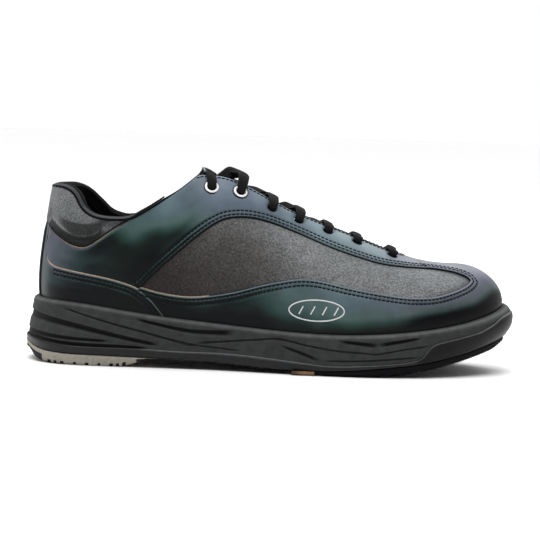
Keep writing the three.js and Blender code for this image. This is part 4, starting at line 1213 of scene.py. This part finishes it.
def midsole_mesh():
    heights = np.linspace(0, 1, 110)
    rows, dark = [np.zeros((AROUND, 3))], [np.ones(AROUND)]
    for k in heights:
        xy = plan(ring_s, side_offset(ring_s, 0.3))
        low = outsole_top(xy[:, 0]) - 1.0
        z = low + (rim(ring_s) - low) * k
        h = (z - outsole_under(xy[:, 0])) / (rim(ring_s) - outsole_under(xy[:, 0]))
        below = rim(ring_s) - z
        lip = 0.6 * smooth(-below, -4.5, -2.5) - 0.9 * smooth(-below, -1.0, 0)
        depth, groove_shade = carved(xy[:, 0], z)
        rows.append(ring(ring_s, side_offset(ring_s, h) - depth + lip, z))
        # painted shade in the carved bands, less a thin painted highlight just under the rim
        dark.append(groove_shade - 0.20 * np.exp(-(((below - 0.9) / 0.9) ** 2)))
    top = rim(ring_s)
    # the rim's top: light painted shade, and dark painted shade on its inner edge against the upper
    for d, rise in ((2.2, 0.25), (1.5, 0.35), (0.8, 0.2), (0.35, -0.4), (0.3, -4.0)):
        rows.append(ring(ring_s, np.full(AROUND, d - 0.4), top + rise))
        dark.append(np.full(AROUND, 0.15 if d > 1 else 0.8))
    rows[0] = ring(ring_s, side_offset(ring_s, 0.1) - 1.5, lambda x: outsole_top(x) - 1.0)
    return np.vstack(rows), grid_faces(len(rows), AROUND, wrap=True), np.concatenate(dark)


points, faces, dark = midsole_mesh()
midsole = add_mesh("midsole_wall", points, faces, materials=[midsole_foam], shade=dark)
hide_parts("midsole")


# ---------------------------------------------------------------- outsole band and toe wrap
def middle_y(x):
    """y of the sole's middle line."""
    return np.interp(x, [-145, -75, 0, 60, 100, 145], [1.5, 0.5, -2, 0.5, 4, 6])


def fill_to_middle(outer, z, steps=(0.8, 0.55, 0.3, 0.1, 0.0)):
    """Rows from a ring in to the shoe's middle line, lying on z(x)."""
    rows = []
    x = outer[:, 0]
    middle = middle_y(x)
    for f in steps:
        y = middle + (outer[:, 1] - middle) * f
        rows.append(np.column_stack([x, y, z(x)]))
    return rows


def band_mesh():
    xy = plan(ring_s, side_offset(ring_s, 0.05))
    x = xy[:, 0]
    top, under = outsole_top(x), outsole_under(x)
    d0 = side_offset(ring_s, 0.05)
    rows = []
    bright = 0.9 * smooth(x, -82, -70)  # the top edge catches the light in front of the heel
    for k, out in ((0, -1.6), (0, 0.3), (0.1, 0.85), (0.19, 0.85), (0.27, 0.65), (0.4, 0.5), (0.6, 0.35),
                   (0.85, 0.2), (1, -0.3)):
        rows.append(ring(ring_s, d0 + out * (1 - 0.75 * smooth(-x, 136, 149)), top - (top - under) * k))
    dark = [-bright, -bright, -bright, -0.5 * bright] + [np.zeros(AROUND)] * 5
    rows.append(ring(ring_s, d0 - 1.6, outsole_under))
    rows += fill_to_middle(rows[-1], outsole_under)
    dark += [np.zeros(AROUND)] * (len(rows) - len(dark))
    return np.vstack(rows), grid_faces(len(rows), AROUND, wrap=True), np.concatenate(dark)


points, faces, dark = band_mesh()
band = add_mesh("outsole_band", points, faces, materials=[outsole_rubber], shade=dark)
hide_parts("outsole")


def wrap_mesh():
    """The toe's rubber, rising over the front of the midsole; it stands a little proud of it."""
    s = np.linspace(0.22, 0.78, 720)
    wall = plan(s, side_offset(s, 0.4))
    x = wall[:, 0]
    top = np.where(x > 88, wrap_edge(np.minimum(x, 148)), outsole_top(x))
    start, end = np.argmax(x > 88.4), len(x) - np.argmax(x[::-1] > 88.4)
    s, x, top = s[start:end], x[start:end], top[start:end]
    low = outsole_under(x) + 0.6
    rows, dark = [], []
    for k, out in ((0, -0.8), (0, 0.7), (0.02, 1.15), (0.06, 1.35), (0.13, 1.3), (0.25, 1.15), (0.4, 1.1),
                   (0.55, 1.1), (0.7, 1.1), (0.85, 1.0), (0.95, 0.85), (1, 0.3)):
        z = top + (low - top) * k
        h = (z - outsole_under(x)) / (rim(s) - outsole_under(x))
        rows.append(ring(s, side_offset(s, h) + out, z))
        # painted highlight along the top edge, then painted shade growing towards the bottom and towards the
        # front of the toe
        front = smooth(x, 100, 140)
        dark.append(-0.9 + 0 * x if k < 0.05 else -0.3 + 0 * x if k < 0.1 else 0.35 + 0.2 * k + 0.4 * front)
    return np.vstack(rows), grid_faces(len(rows), len(s)), np.concatenate(dark)


points, faces, dark = wrap_mesh()
wrap = add_mesh("outsole_toe_wrap", points, faces, materials=[wrap_rubber], shade=dark)
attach(wrap, "shoe")


# ---------------------------------------------------------------- heel pad and traction sole
def outline_y(d, x):
    """Lateral and medial y of the sole's outline, offset by d(s), at stations x."""
    s = np.linspace(0, 1, 2400)
    xy = plan(s, d(s))
    half = slice(0, 1200), slice(1200, 2400)
    result = []
    for part in half:
        order = np.argsort(xy[part][:, 0])
        result.append(np.interp(x, xy[part][order, 0], xy[part][order, 1]))
    return result


def draw_in(s):
    return smooth(-row_at(s)[..., 0], 100, 140)


def tread_mesh(x, low, high, sections=26, notch=0.0):
    """A tread piece as closed cross-sections at stations x; its lower edge draws in."""
    foot = outline_y(lambda s: side_offset(s, 0) - 1.2 - 2.0 * draw_in(s), x)
    knee = outline_y(lambda s: side_offset(s, 0) - 0.3 - 0.3 * draw_in(s), x)
    head = outline_y(lambda s: side_offset(s, 0) + 0.1, x)
    z0, z1 = low(x), high(x)
    knee_z = z0 + np.minimum(2.3, 0.42 * (z1 - z0))
    waist_z = knee_z + (z1 - knee_z) * 0.5
    across = np.linspace(0, 1, sections)
    sides = [
        (foot[0] + 0.5 + notch, z0), (foot[0] + notch, z0 + 0.25), (knee[0], knee_z),
        ((knee[0] + head[0]) / 2, waist_z), (head[0], z1 - 0.2), (head[0] + 0.3, z1),
    ]
    loop = [np.stack([x, y, z], 1) for y, z in sides]
    inner_low, inner_high = head[0] + 0.3, head[1] - 0.3
    for f in across[1:-1]:
        y = inner_low + (inner_high - inner_low) * f
        loop.append(np.stack([x, y, z1], 1))
    other = [
        (head[1] - 0.3, z1), (head[1], z1 - 0.2), ((knee[1] + head[1]) / 2, waist_z), (knee[1], knee_z),
        (foot[1] - notch, z0 + 0.25), (foot[1] - 0.5 - notch, z0),
    ]
    loop += [np.stack([x, y, z], 1) for y, z in other]
    for f in across[1:-1]:
        y = (foot[1] - 0.5) + (foot[0] + 0.5 - foot[1] + 0.5) * f
        loop.append(np.stack([x, y, z0], 1))
    grid = np.stack(loop, 1)
    count = grid.shape[1]
    points = grid.reshape(-1, 3)
    faces = [tuple(f) for f in grid_faces(len(x), count, wrap=True)]
    faces.append(tuple(range(count))[::-1])
    faces.append(tuple(range((len(x) - 1) * count, len(x) * count)))
    return points, faces


PAD_REAR = -150.28
# x of the cuts in the pad's lower edge
NOTCHES = [-133.8, -130, -125.7, -118, -110.4, -103, -95.6, -91.9, -87.9]
pad_x = np.concatenate([PAD_REAR + 1.6 * np.linspace(0, 1, 14) ** 2, np.arange(-148.2, -70, 0.45)])
notched = np.max([smooth(1.1 - np.abs(pad_x - n), 0, 0.3) for n in NOTCHES], axis=0)


def pad_high(x):
    return outsole_under(x) - 0.3


def pad_low(x):
    return ground(x) + 3.0 * smooth(-x, 138, 151) ** 1.4


points, faces = tread_mesh(pad_x, pad_low, pad_high, notch=1.4 * notched)
around = len(points) // len(pad_x)
low_side = np.zeros(around, bool)
low_side[[0, 1, 2, around - 28, around - 27, around - 26, around - 25]] = True
at_knee = np.isin(np.arange(around), [2, around - 28])
corner = (pad_x[:-1] < -138.7) | (pad_x[:-1] > -80.3)
# dark pad_edge material on the pad's dark end pieces, and as painted shade inside the cuts
pad_edge_and_notch_shade = (low_side & ~at_knee)[None] & (corner | (notched[:-1] > 0.5))[:, None]
pad_edge_and_notch_shade |= at_knee[None] & corner[:, None]
index = np.concatenate([pad_edge_and_notch_shade.ravel().astype(int), [1, 1]])
heel_pad = add_mesh("heel_pad_felt", points, faces, body="heel_pad", materials=[pad_felt, pad_edge],
                    index=index)
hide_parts("heel_pad", "heel_pad_rear_edge", "heel_pad_front_edge")

TOOTH = {"pitch": 1.35, "depth": 0.75}
sole_x = np.arange(27, 143.4, TOOTH["pitch"] / 4)


def toothed(x):
    wave = np.abs(((x / TOOTH["pitch"]) % 1) - 0.5) * 2
    return ground(x) + TOOTH["depth"] * wave * smooth(x, 27, 30) + 1.6 * smooth(x, 134, 144)


points, faces = tread_mesh(sole_x, toothed, pad_high)
traction = add_mesh("traction_sole_tread", points, faces, body="traction_sole", materials=[tread_rubber])
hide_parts("traction_sole")

# ---------------------------------------------------------------- collar binding and lining
COLLAR_PAD = 5.5
WALL = 5.6  # outer surface to the lining's inner face
LINING_PAD_LOW, LINING_PAD_HIGH = 60, 82


def collar_pad(p):
    rearward = 1 - smooth(p[..., 0], -92, -52)
    return COLLAR_PAD * rearward * smooth(p[..., 2], LINING_PAD_LOW, LINING_PAD_HIGH)


def around_collar():
    """The whole topline, medial side to lateral side round the heel."""
    lat = seams[LAT]["topline"]
    med = wrapped(seams[MED]["topline"], MED)
    path = np.vstack([med[::-1], lat[1:]])
    return evenly(path, 1.0, of=upper(*path.T))


def path_frame(path):
    """Points, outward normals and the direction over the path's edge, away from the leather."""
    p, n = upper(*path.T), normals(*path.T)
    q = np.vstack([p[:1], p[:1], p, p[-1:], p[-1:]])
    along = q[4:] - q[:-4]
    for _ in range(3):
        along = (np.roll(along, 1, 0) + along + np.roll(along, -1, 0)) / 3
    along /= np.linalg.norm(along, axis=1, keepdims=True)
    over_edge = np.cross(along, n)
    over_edge *= np.sign((over_edge * [0, 0, 1]).sum(1, keepdims=True) + 1e-9)
    over_edge /= np.linalg.norm(over_edge, axis=1, keepdims=True)
    return p, n, over_edge


top_path = around_collar()
top_p, top_n, top_u = path_frame(top_path)
thick = WALL + collar_pad(top_p)
ends = smooth(-top_p[:, 0], 56, 80)  # the roll dies out where the topline meets the eyestay


# The binding's section: share of the wall's thickness inwards, rise, finish up to the next row.
BAND = [
    (-0.02, -1.2, 1), (-0.06, -0.5, 1), (-0.03, 0.2, 0), (0.06, 0.9, 0), (0.16, 1.5, 1), (0.30, 1.8, 1),
    (0.42, 1.8, 1), (0.56, 1.5, 1), (0.70, 1.0, 1), (0.80, 0.2, 1), (0.88, -1.0, 1), (0.96, -3.0, 1),
    (1.04, -6.0, 1),
]
rows, index = [], []
for inward, rise, finish in BAND:
    rows.append(top_p - top_n * (inward * thick * (0.5 + 0.5 * ends))[:, None]
                + top_u * (rise * (0.25 + 0.75 * ends))[:, None])
    index.append(np.where(top_p[:-1, 0] > -68, 1, finish))  # only the edge's dark line runs on up the eyestay
binding = add_mesh("collar_binding_tape", np.vstack(rows), grid_faces(len(rows), len(top_p)),
                   materials=[binding_cloth, lining_cloth], index=np.concatenate(index[:-1]))
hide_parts("collar_binding")


def lining_limit(s):
    """Highest t of the lining at s: the topline, then the slot's edge, then the ridge over the toe."""
    limit = np.ones_like(s)
    for side in (LAT, MED):
        edge = np.vstack([wrapped(seams[side]["topline"], side), wrapped(seams[side]["slot"], side)])
        edge = edge[np.argsort(edge[:, 0])]
        inside_run = (s >= edge[0, 0]) & (s <= edge[-1, 0])
        limit = np.where(inside_run, np.interp(s, *edge.T), limit)
    return limit


def lining_mesh():
    s = np.linspace(-0.5, 0.5, 420)
    top = lining_limit(s)
    rows = []
    for k in np.linspace(0, 1, 60):
        t = top * k
        rows.append(upper(s, t, -WALL - collar_pad(upper(s, t))))
    return np.vstack(rows), grid_faces(len(rows), len(s))


points, faces = lining_mesh()
lining = add_mesh("lining_cloth", points, faces[:, ::-1], materials=[lining_cloth])
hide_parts("lining")

# ---------------------------------------------------------------- insole
INSOLE_THICK = 4.0


def ring_at(s, d, z):
    return np.column_stack([plan(s, np.full(len(s), d)), z])


def insole_mesh():
    s = np.linspace(0, 1, 400, endpoint=False)
    top_shift = np.array(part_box("insole")[1])[2] / MM - row_at(0.5)[2]
    rows = []
    for d, drop in ((-7.0, INSOLE_THICK), (-6.9, 0.8), (-7.4, 0.2), (-8.4, 0.0)):
        rows.append(ring_at(s, d, row_at(s)[..., 2] + top_shift - drop))
    edge = rows[-1]
    middle = middle_y(edge[:, 0])
    for f in (0.9, 0.75, 0.55, 0.35, 0.15, 0.0):
        dish = 0.8 * (1 - f)
        rows.append(np.column_stack([edge[:, 0], middle + (edge[:, 1] - middle) * f, edge[:, 2] - dish]))
    return np.vstack(rows), grid_faces(len(rows), len(s), wrap=True)


points, faces = insole_mesh()
insole = add_mesh("insole_cushion", points, faces, materials=[insole_cloth])
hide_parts("insole")

# ---------------------------------------------------------------- tongue
FACE_UP = -9.0  # the tongue's upper face, under the outer surface of the upper
TONGUE_HALF = [(-50, 25), (0, 21), (60, 17), (82, 12)]
TONGUE_X = (82, -38)


def tongue_rows():
    """Cross-sections of the tongue's upper face: points across at stations along the ridge."""
    stations_x = np.linspace(*TONGUE_X, 60)
    columns = np.linspace(-1, 1, 33)
    rows = []
    for x in stations_x:
        s = np.interp(x, ridge_x, ridge_s)
        half = curve(TONGUE_HALF)(x)
        row = []
        for side in (LAT, MED):
            ss = s if side == LAT else 1 - s
            t = np.linspace(1, 0.35, 120)
            line = upper(np.full(120, ss), t, FACE_UP)
            run = np.concatenate([[0], np.cumsum(np.linalg.norm(np.diff(line, axis=0), axis=1))])
            want = np.abs(columns[columns <= 0] if side == LAT else columns[columns > 0]) * half
            tt = np.interp(want, run, t)
            row.append(np.stack([np.full(len(want), ss), tt], 1))
        rows.append(np.vstack(row))
    return np.array(rows)


tongue_st = tongue_rows()
rows_n, cols_n = tongue_st.shape[:2]
flat_st = tongue_st.reshape(-1, 2)
tongue_up = upper(*flat_st.T, FACE_UP).reshape(rows_n, cols_n, 3)
tongue_normal = normals(*flat_st.T).reshape(rows_n, cols_n, 3)


def tongue_extra(last, normal, count=16):
    """The free end past the eyestay: it rises, leans back and narrows with a rounded top."""
    middle = last.mean(0)
    rows, norms = [], []
    for k in np.linspace(0, 1, count + 1)[1:]:
        dx, dz = -4.4 * k - 0.8 * k * k, 7.0 * k + 0.8 * k * k
        scale = np.array([1, 1 - 0.04 * k, 1])
        grown = middle + (last - middle) * scale + [dx, 0, dz]
        corner = np.abs(np.linspace(-1, 1, cols_n)) ** 5 * 5.0 * smooth(k, 0.55, 1)
        grown = grown + np.stack([corner, 0 * corner, -0.6 * corner], 1)
        rows.append(grown)
        norms.append(normal)
    return np.array(rows), np.array(norms)


extra, extra_n = tongue_extra(tongue_up[-1], tongue_normal[-1])
tongue_up = np.vstack([tongue_up, extra])
tongue_normal = np.vstack([tongue_normal, extra_n])
rows_n = len(tongue_up)


def tongue_shell(offset_in, offset_out, name, material):
    """A closed pad between two offsets under the tongue's face, thinning to its edges."""
    u = np.abs(np.linspace(-1, 1, cols_n))[None, :, None]
    edge = smooth(1 - u, 0, 0.22)
    thin = 0.4 * (offset_out - offset_in)
    top = tongue_up + tongue_normal * (offset_out - thin * (1 - edge))
    low = tongue_up + tongue_normal * (offset_in + thin * (1 - edge))
    points = np.vstack([top.reshape(-1, 3), low.reshape(-1, 3)])
    count = rows_n * cols_n
    f = grid_faces(rows_n, cols_n)
    faces = [tuple(q) for q in f] + [tuple(q[::-1]) for q in f + count]
    rim_loop = (
        [(0, c) for c in range(cols_n)] + [(r, cols_n - 1) for r in range(1, rows_n)]
        + [(rows_n - 1, c) for c in range(cols_n - 2, -1, -1)] + [(r, 0) for r in range(rows_n - 2, 0, -1)]
    )
    ids = [r * cols_n + c for r, c in rim_loop]
    for a, b in zip(ids, ids[1:] + ids[:1]):
        faces.append((b, a, a + count, b + count))
    return add_mesh(name, points, faces, body="tongue", materials=[material])


def tongue_roll():
    """The leather rolled over the tongue's free end, round all its layers."""
    thin = 1 - smooth(1 - np.abs(np.linspace(-1, 1, cols_n)), 0, 0.22)[:, None]
    last, normal = tongue_up[-1], tongue_normal[-1]
    out = last - tongue_up[-4]
    out /= np.linalg.norm(out, axis=1, keepdims=True)
    high, low = last + normal * (0.25 - 0.4 * thin), last - normal * (6.4 - 0.5 * thin)
    rows = [high - out * 5.0]
    for angle in np.linspace(math.pi / 2, -math.pi / 2, 11):
        half = (high - low) / 2
        rows.append((high + low) / 2 + half * math.sin(angle)
                    + out * np.linalg.norm(half, axis=1, keepdims=True) * 0.9 * math.cos(angle))
    rows.append(low - out * 5.0)
    return np.vstack(rows), grid_faces(len(rows), cols_n)


points, faces = tongue_roll()
add_mesh("tongue_end_roll", points, faces, body="tongue", materials=[leather])
tongue = tongue_shell(-1.1, 0.0, "tongue_face_leather", leather)
tongue_pad = tongue_shell(-4.6, -1.4, "tongue_foam_pad", foam)
tongue_under = tongue_shell(-6.3, -4.9, "tongue_lining_cloth", lining_cloth)
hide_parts("tongue_face")
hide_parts("tongue_foam")
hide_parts("tongue_lining")

# ---------------------------------------------------------------- eyelets and lace
LACE_WIDE, LACE_THICK = 6.6, 2.1


def over_upper(x, y, offset):
    """A point at an offset over the upper at x, y in plan."""
    side = LAT if y < slot_centre(x) else MED
    s, t = fit([(x, y)], PLAN, HALF[side], (0.45, 1.0))[0]
    return upper(s, t, offset)


def turned(name, profile, centre, normal, material_index, materials, segments=56):
    """A turned piece standing on the upper: profile rows are (radius, height)."""
    side = np.cross(normal, [0, 1, 0])
    side /= np.linalg.norm(side)
    front = np.cross(normal, side)
    turn = np.linspace(0, 2 * np.pi, segments, endpoint=False)[:, None]
    ring_dirs = np.cos(turn) * side + np.sin(turn) * front
    rows = [centre + ring_dirs * r + normal * h for r, h in profile]
    faces = grid_faces(len(rows), segments, wrap=True)
    index = np.repeat(material_index, segments)
    return add_mesh(name, np.vstack(rows), faces, materials=materials, index=index)


EYELET_PROFILE = [
    (2.6, -5.0), (2.6, -0.2), (2.75, 0.45), (3.05, 0.85), (3.4, 1.0), (3.75, 0.95), (4.05, 0.75), (4.25, 0.5),
    (4.4, 0.42), (4.7, 0.4), (4.9, 0.25), (5.0, -0.15),
]
# bands of the ring from the inside out, 0 white enamel and 1 dark; the dark outer bands are painted shadow of
# the gap round the ring
EYELET_ENAMEL_AND_SHADE_BANDS = [1, 1, 0, 0, 0, 0, 0, 1, 1, 1, 1]
for side, word in ((LAT, "lateral"), (MED, "medial")):
    for row, level in ((5, "lower"), (6, "upper")):
        st = hole_st(row, side)
        eyelet = turned(f"eyelet_{word}_{level}_ring", EYELET_PROFILE, upper(*st), normals(*st),
                        EYELET_ENAMEL_AND_SHADE_BANDS, [white_ring, eyelet_dark])
        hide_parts(f"eyelet_{word}_{level}")

FORWARD = np.array([0.92, 0.0, -0.4])
LACE_UNDER = -7.35


def lace_half(first, lift):
    """One end of the lace from the throat up: (point, narrowing) pairs. It comes up out of every hole, passes
    over to the slot's middle and dives under the other eyestay to the next hole up."""
    points = []

    def through(row, side):
        st = hole_st(row, side)
        base, n = upper(*st), normals(*st)
        return [(base + n * d, w) for d, w in ((-5.6, 0.7), (-3.0, 0.6), (-0.6, 0.62), (1.6, 0.78))]

    points += through(0, first)
    side = first
    for row in range(len(LACE_ROWS) - 1):
        x0, y0 = hole_xy(row, side)
        x1, y1 = hole_xy(row + 1, -side)
        up = -lift if row % 2 else lift
        loop = LOOPS[row]
        steps = [
            (0.07, 2.5 + loop * 0.5, 0.95), (0.15, 2.0 + loop, 1), (0.23, 1.1 + loop, 1),
            (0.33, up * 0.4 - 1.6 + 1.3 * loop, 1), (0.5, up - 3.4 + loop, 1), (0.62, up * 0.5 - 4.6, 1),
            (0.72, -6.0, 1), (0.83, LACE_UNDER, 1), (0.94, LACE_UNDER + 0.1, 0.9),
        ]
        for u, d, w in steps:
            # the strap goes nearly straight over the edge before it turns back along the shoe
            v = float(smooth(u, 0.16, 1))
            points.append((over_upper(x0 + (x1 - x0) * v, y0 + (y1 - y0) * u, d), w))
        side = -side
        points += through(row + 1, side)
    # the last of it crosses the tongue, tucks under the other eyestay and runs down inside the shoe
    x0, y0 = hole_xy(6, side)
    edge = slot_half(x0)
    for x, y, d, w in (
        (x0 - 0.4, edge + 4.0, 2.2, 0.95), (x0 - 1.2, edge, 0.6, 1),
        (x0 - 2.6, edge - 4.0, -2.4 + lift * 0.5, 1),
        (x0 - 4.4, 0.0, -4.2 + lift, 1), (x0 - 6.0, -6.5, -5.6, 1), (x0 - 7.2, -11.5, -6.8, 1),
        (x0 - 7.6, -15.5, -7.3, 1),
    ):
        points.append((over_upper(x, slot_centre(x) + side * y, d), w))
    side = -side
    for x, offset, t in ((-37.5, -7.2, 0.74), (-34, -7.8, 0.62), (-26, -8, 0.48), (-14, -8, 0.3)):
        s = np.interp(x, ridge_x, ridge_s)
        points.append((upper(s if side == LAT else 1 - s, t, offset), 1))
    for x, y in ((4, 24), (24, 25), (48, 25), (70, 22), (88, 16)):
        z = FEATHER(x) + 3.8
        points.append((np.array([x, side * y + 1, z]), 1))
    return points


LOOPS = (-0.7, -0.7, -0.6, 0.9, -0.2, 2.6)  # how high each crossing stands
FEATHER = curve([
    (-142, 38), (-133, 37.6), (-110, 35.9), (-75, 31.5), (-36, 28), (4, 25), (44, 24), (84, 26.6),
    (117, 31.6), (137, 37.6), (143, 41),
])
CROSS = 1.6
half_a, half_b = lace_half(LAT, -CROSS), lace_half(MED, CROSS)
throat = LACE_ROWS[0]
bar_half = slot_half(throat) + HOLE_INSET - 1.2
bar = [
    (over_upper(throat + 0.3, slot_centre(throat) + u * bar_half, LACE_UNDER), 0.95)
    for u in (-1, -0.5, 0, 0.5, 1)
]
route = half_a[::-1] + bar + half_b
lace_points = np.array([p for p, _ in route])
lace_narrow = np.array([w for _, w in route])


def lace_mesh(points, narrow, wide, thick, per_mm=1.6):
    """A flat woven tube swept along the points, its width kept along the eyestays."""
    gaps = np.linalg.norm(np.diff(points, axis=0), axis=1) ** 0.5
    knots = np.concatenate([[0], np.cumsum(gaps)])
    q = np.vstack([2 * points[0] - points[1], points, 2 * points[-1] - points[-2]])
    k = np.concatenate([[-gaps[0]], knots, [knots[-1] + gaps[-1]]])
    fine = []
    widths = []
    for i in range(len(points) - 1):
        t0, t1, t2, t3 = k[i : i + 4]
        p0, p1, p2, p3 = q[i : i + 4]
        t = np.linspace(t1, t2, 12, endpoint=False)[:, None]
        a1 = (t1 - t) / (t1 - t0) * p0 + (t - t0) / (t1 - t0) * p1
        a2 = (t2 - t) / (t2 - t1) * p1 + (t - t1) / (t2 - t1) * p2
        a3 = (t3 - t) / (t3 - t2) * p2 + (t - t2) / (t3 - t2) * p3
        b1 = (t2 - t) / (t2 - t0) * a1 + (t - t0) / (t2 - t0) * a2
        b2 = (t3 - t) / (t3 - t1) * a2 + (t - t1) / (t3 - t1) * a3
        fine.append((t2 - t) / (t2 - t1) * b1 + (t - t1) / (t2 - t1) * b2)
        widths.append(np.linspace(narrow[i], narrow[i + 1], 12, endpoint=False))
    fine, widths = np.vstack([*fine, points[-1:]]), np.concatenate([*widths, narrow[-1:]])
    both = evenly(np.column_stack([fine, widths]), 1 / per_mm, of=fine)
    p, w = both[:, :3], both[:, 3]
    along = np.gradient(p, axis=0)
    along /= np.linalg.norm(along, axis=1, keepdims=True)
    wide_dir = FORWARD - along * (along @ FORWARD)[:, None]
    wide_dir /= np.linalg.norm(wide_dir, axis=1, keepdims=True)
    for _ in range(6):
        wide_dir[1:-1] = (wide_dir[:-2] + 2 * wide_dir[1:-1] + wide_dir[2:]) / 4
    wide_dir -= along * (wide_dir * along).sum(1, keepdims=True)
    wide_dir /= np.linalg.norm(wide_dir, axis=1, keepdims=True)
    thick_dir = np.cross(along, wide_dir)
    turn = np.linspace(0, 2 * np.pi, 20, endpoint=False)
    ca, sa = np.cos(turn), np.sin(turn)
    flat = np.sign(ca) * np.abs(ca) ** 0.75, np.sign(sa) * np.abs(sa) ** 0.6
    run = np.arange(len(p)) / per_mm
    rows = (
        p[:, None]
        + wide_dir[:, None] * (flat[0][None, :, None] * (wide / 2 * w)[:, None, None])
        + thick_dir[:, None] * (flat[1][None, :, None] * (thick / 2 / np.sqrt(w))[:, None, None])
    )
    uv = np.stack(np.broadcast_arrays(run[:, None], (flat[0] * wide / 2)[None, :]), -1)
    count = len(p)
    faces = [tuple(f) for f in grid_faces(count, 20, wrap=True)]
    faces += [tuple(range(20))[::-1], tuple(range((count - 1) * 20, count * 20))]
    return rows.reshape(-1, 3), faces, uv.reshape(-1, 2)


points, faces, uv = lace_mesh(lace_points, lace_narrow, LACE_WIDE, LACE_THICK)
lace = add_mesh("lace_woven", points, faces, materials=[lace_weave], uv=uv)
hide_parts("lace")

# ---------------------------------------------------------------- hidden pieces and small parts
FINISHES = {
    "shank": steel, "lasting_board": board_fibre, "toe_puff": stiff_sheet, "heel_counter": stiff_sheet,
    "collar_foam": foam, "heel_hook_patch": fastener_hook, "sole_hook_patch": fastener_hook,
    "heel_loop_patch": fastener_loop, "sole_loop_patch": fastener_loop, "sole_pull_tab": tan_leather,
    "aglet_lateral": aglet_plastic, "aglet_medial": aglet_plastic,
}
for node, finish in FINISHES.items():
    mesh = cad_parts[node].data
    mesh.materials.clear()
    mesh.materials.append(finish)

# ---------------------------------------------------------------- stage and light
def box_light(name, place, size, power, towards=(0, 0, 0.05)):
    """A soft rectangular light in metres and watts, turned towards a point."""
    data = bpy.data.lights.new(name, "AREA")
    data.shape = "RECTANGLE"
    data.size, data.size_y = size
    data.energy = power
    light = bpy.data.objects.new(name, data)
    light.location = place
    light.rotation_euler = (Vector(towards) - Vector(place)).to_track_quat("-Z", "Y").to_euler()
    bpy.context.scene.collection.objects.link(light)
    return light


floor_mesh = bpy.data.meshes.new("floor")
REACH = 6.0
floor_mesh.from_pydata([(-REACH, -REACH, 0), (REACH, -REACH, 0), (REACH, REACH, 0), (-REACH, REACH, 0)], [],
                       [(0, 1, 2, 3)])
floor = bpy.data.objects.new("floor", floor_mesh)
bpy.context.scene.collection.objects.link(floor)
floor_paint = bpy.data.materials.new("floor_paint")
floor_tree = Nodes(floor_paint)
floor_tree.feed(floor_tree.nodes["Principled BSDF"], {"Base Color": (*grey(0.86), 1), "Roughness": 0.9})
floor_mesh.materials.append(floor_paint)

world = bpy.data.worlds.new("world")
world_tree = Nodes(world)
# bright behind the shoe, dim on the lateral side it is seen from, so that its side stays dark
bearing = world_tree.add("SeparateXYZ", {0: world_tree.add("TexCoord")["Generated"]})
world_tree.feed(world_tree.nodes["Background"], {
    "Color": (1, 1, 1, 1), "Strength": world_tree.ranged(bearing["Y"], -0.35, 0.3, 0.16, 1.0),
})
bpy.context.scene.world = world
bpy.context.scene.view_settings.view_transform = "Standard"
box_light("key", (-0.25, -0.55, 1.7), (1.4, 1.0), 22)
box_light("back", (0.2, 1.2, 1.2), (1.6, 0.8), 12)
sky_data = bpy.data.lights.new("sky", "SUN")
sky_data.energy = 1.7
sky_data.angle = math.radians(60)
sky = bpy.data.objects.new("sky", sky_data)
sky.rotation_euler = (math.radians(-8), 0, 0)
bpy.context.scene.collection.objects.link(sky)
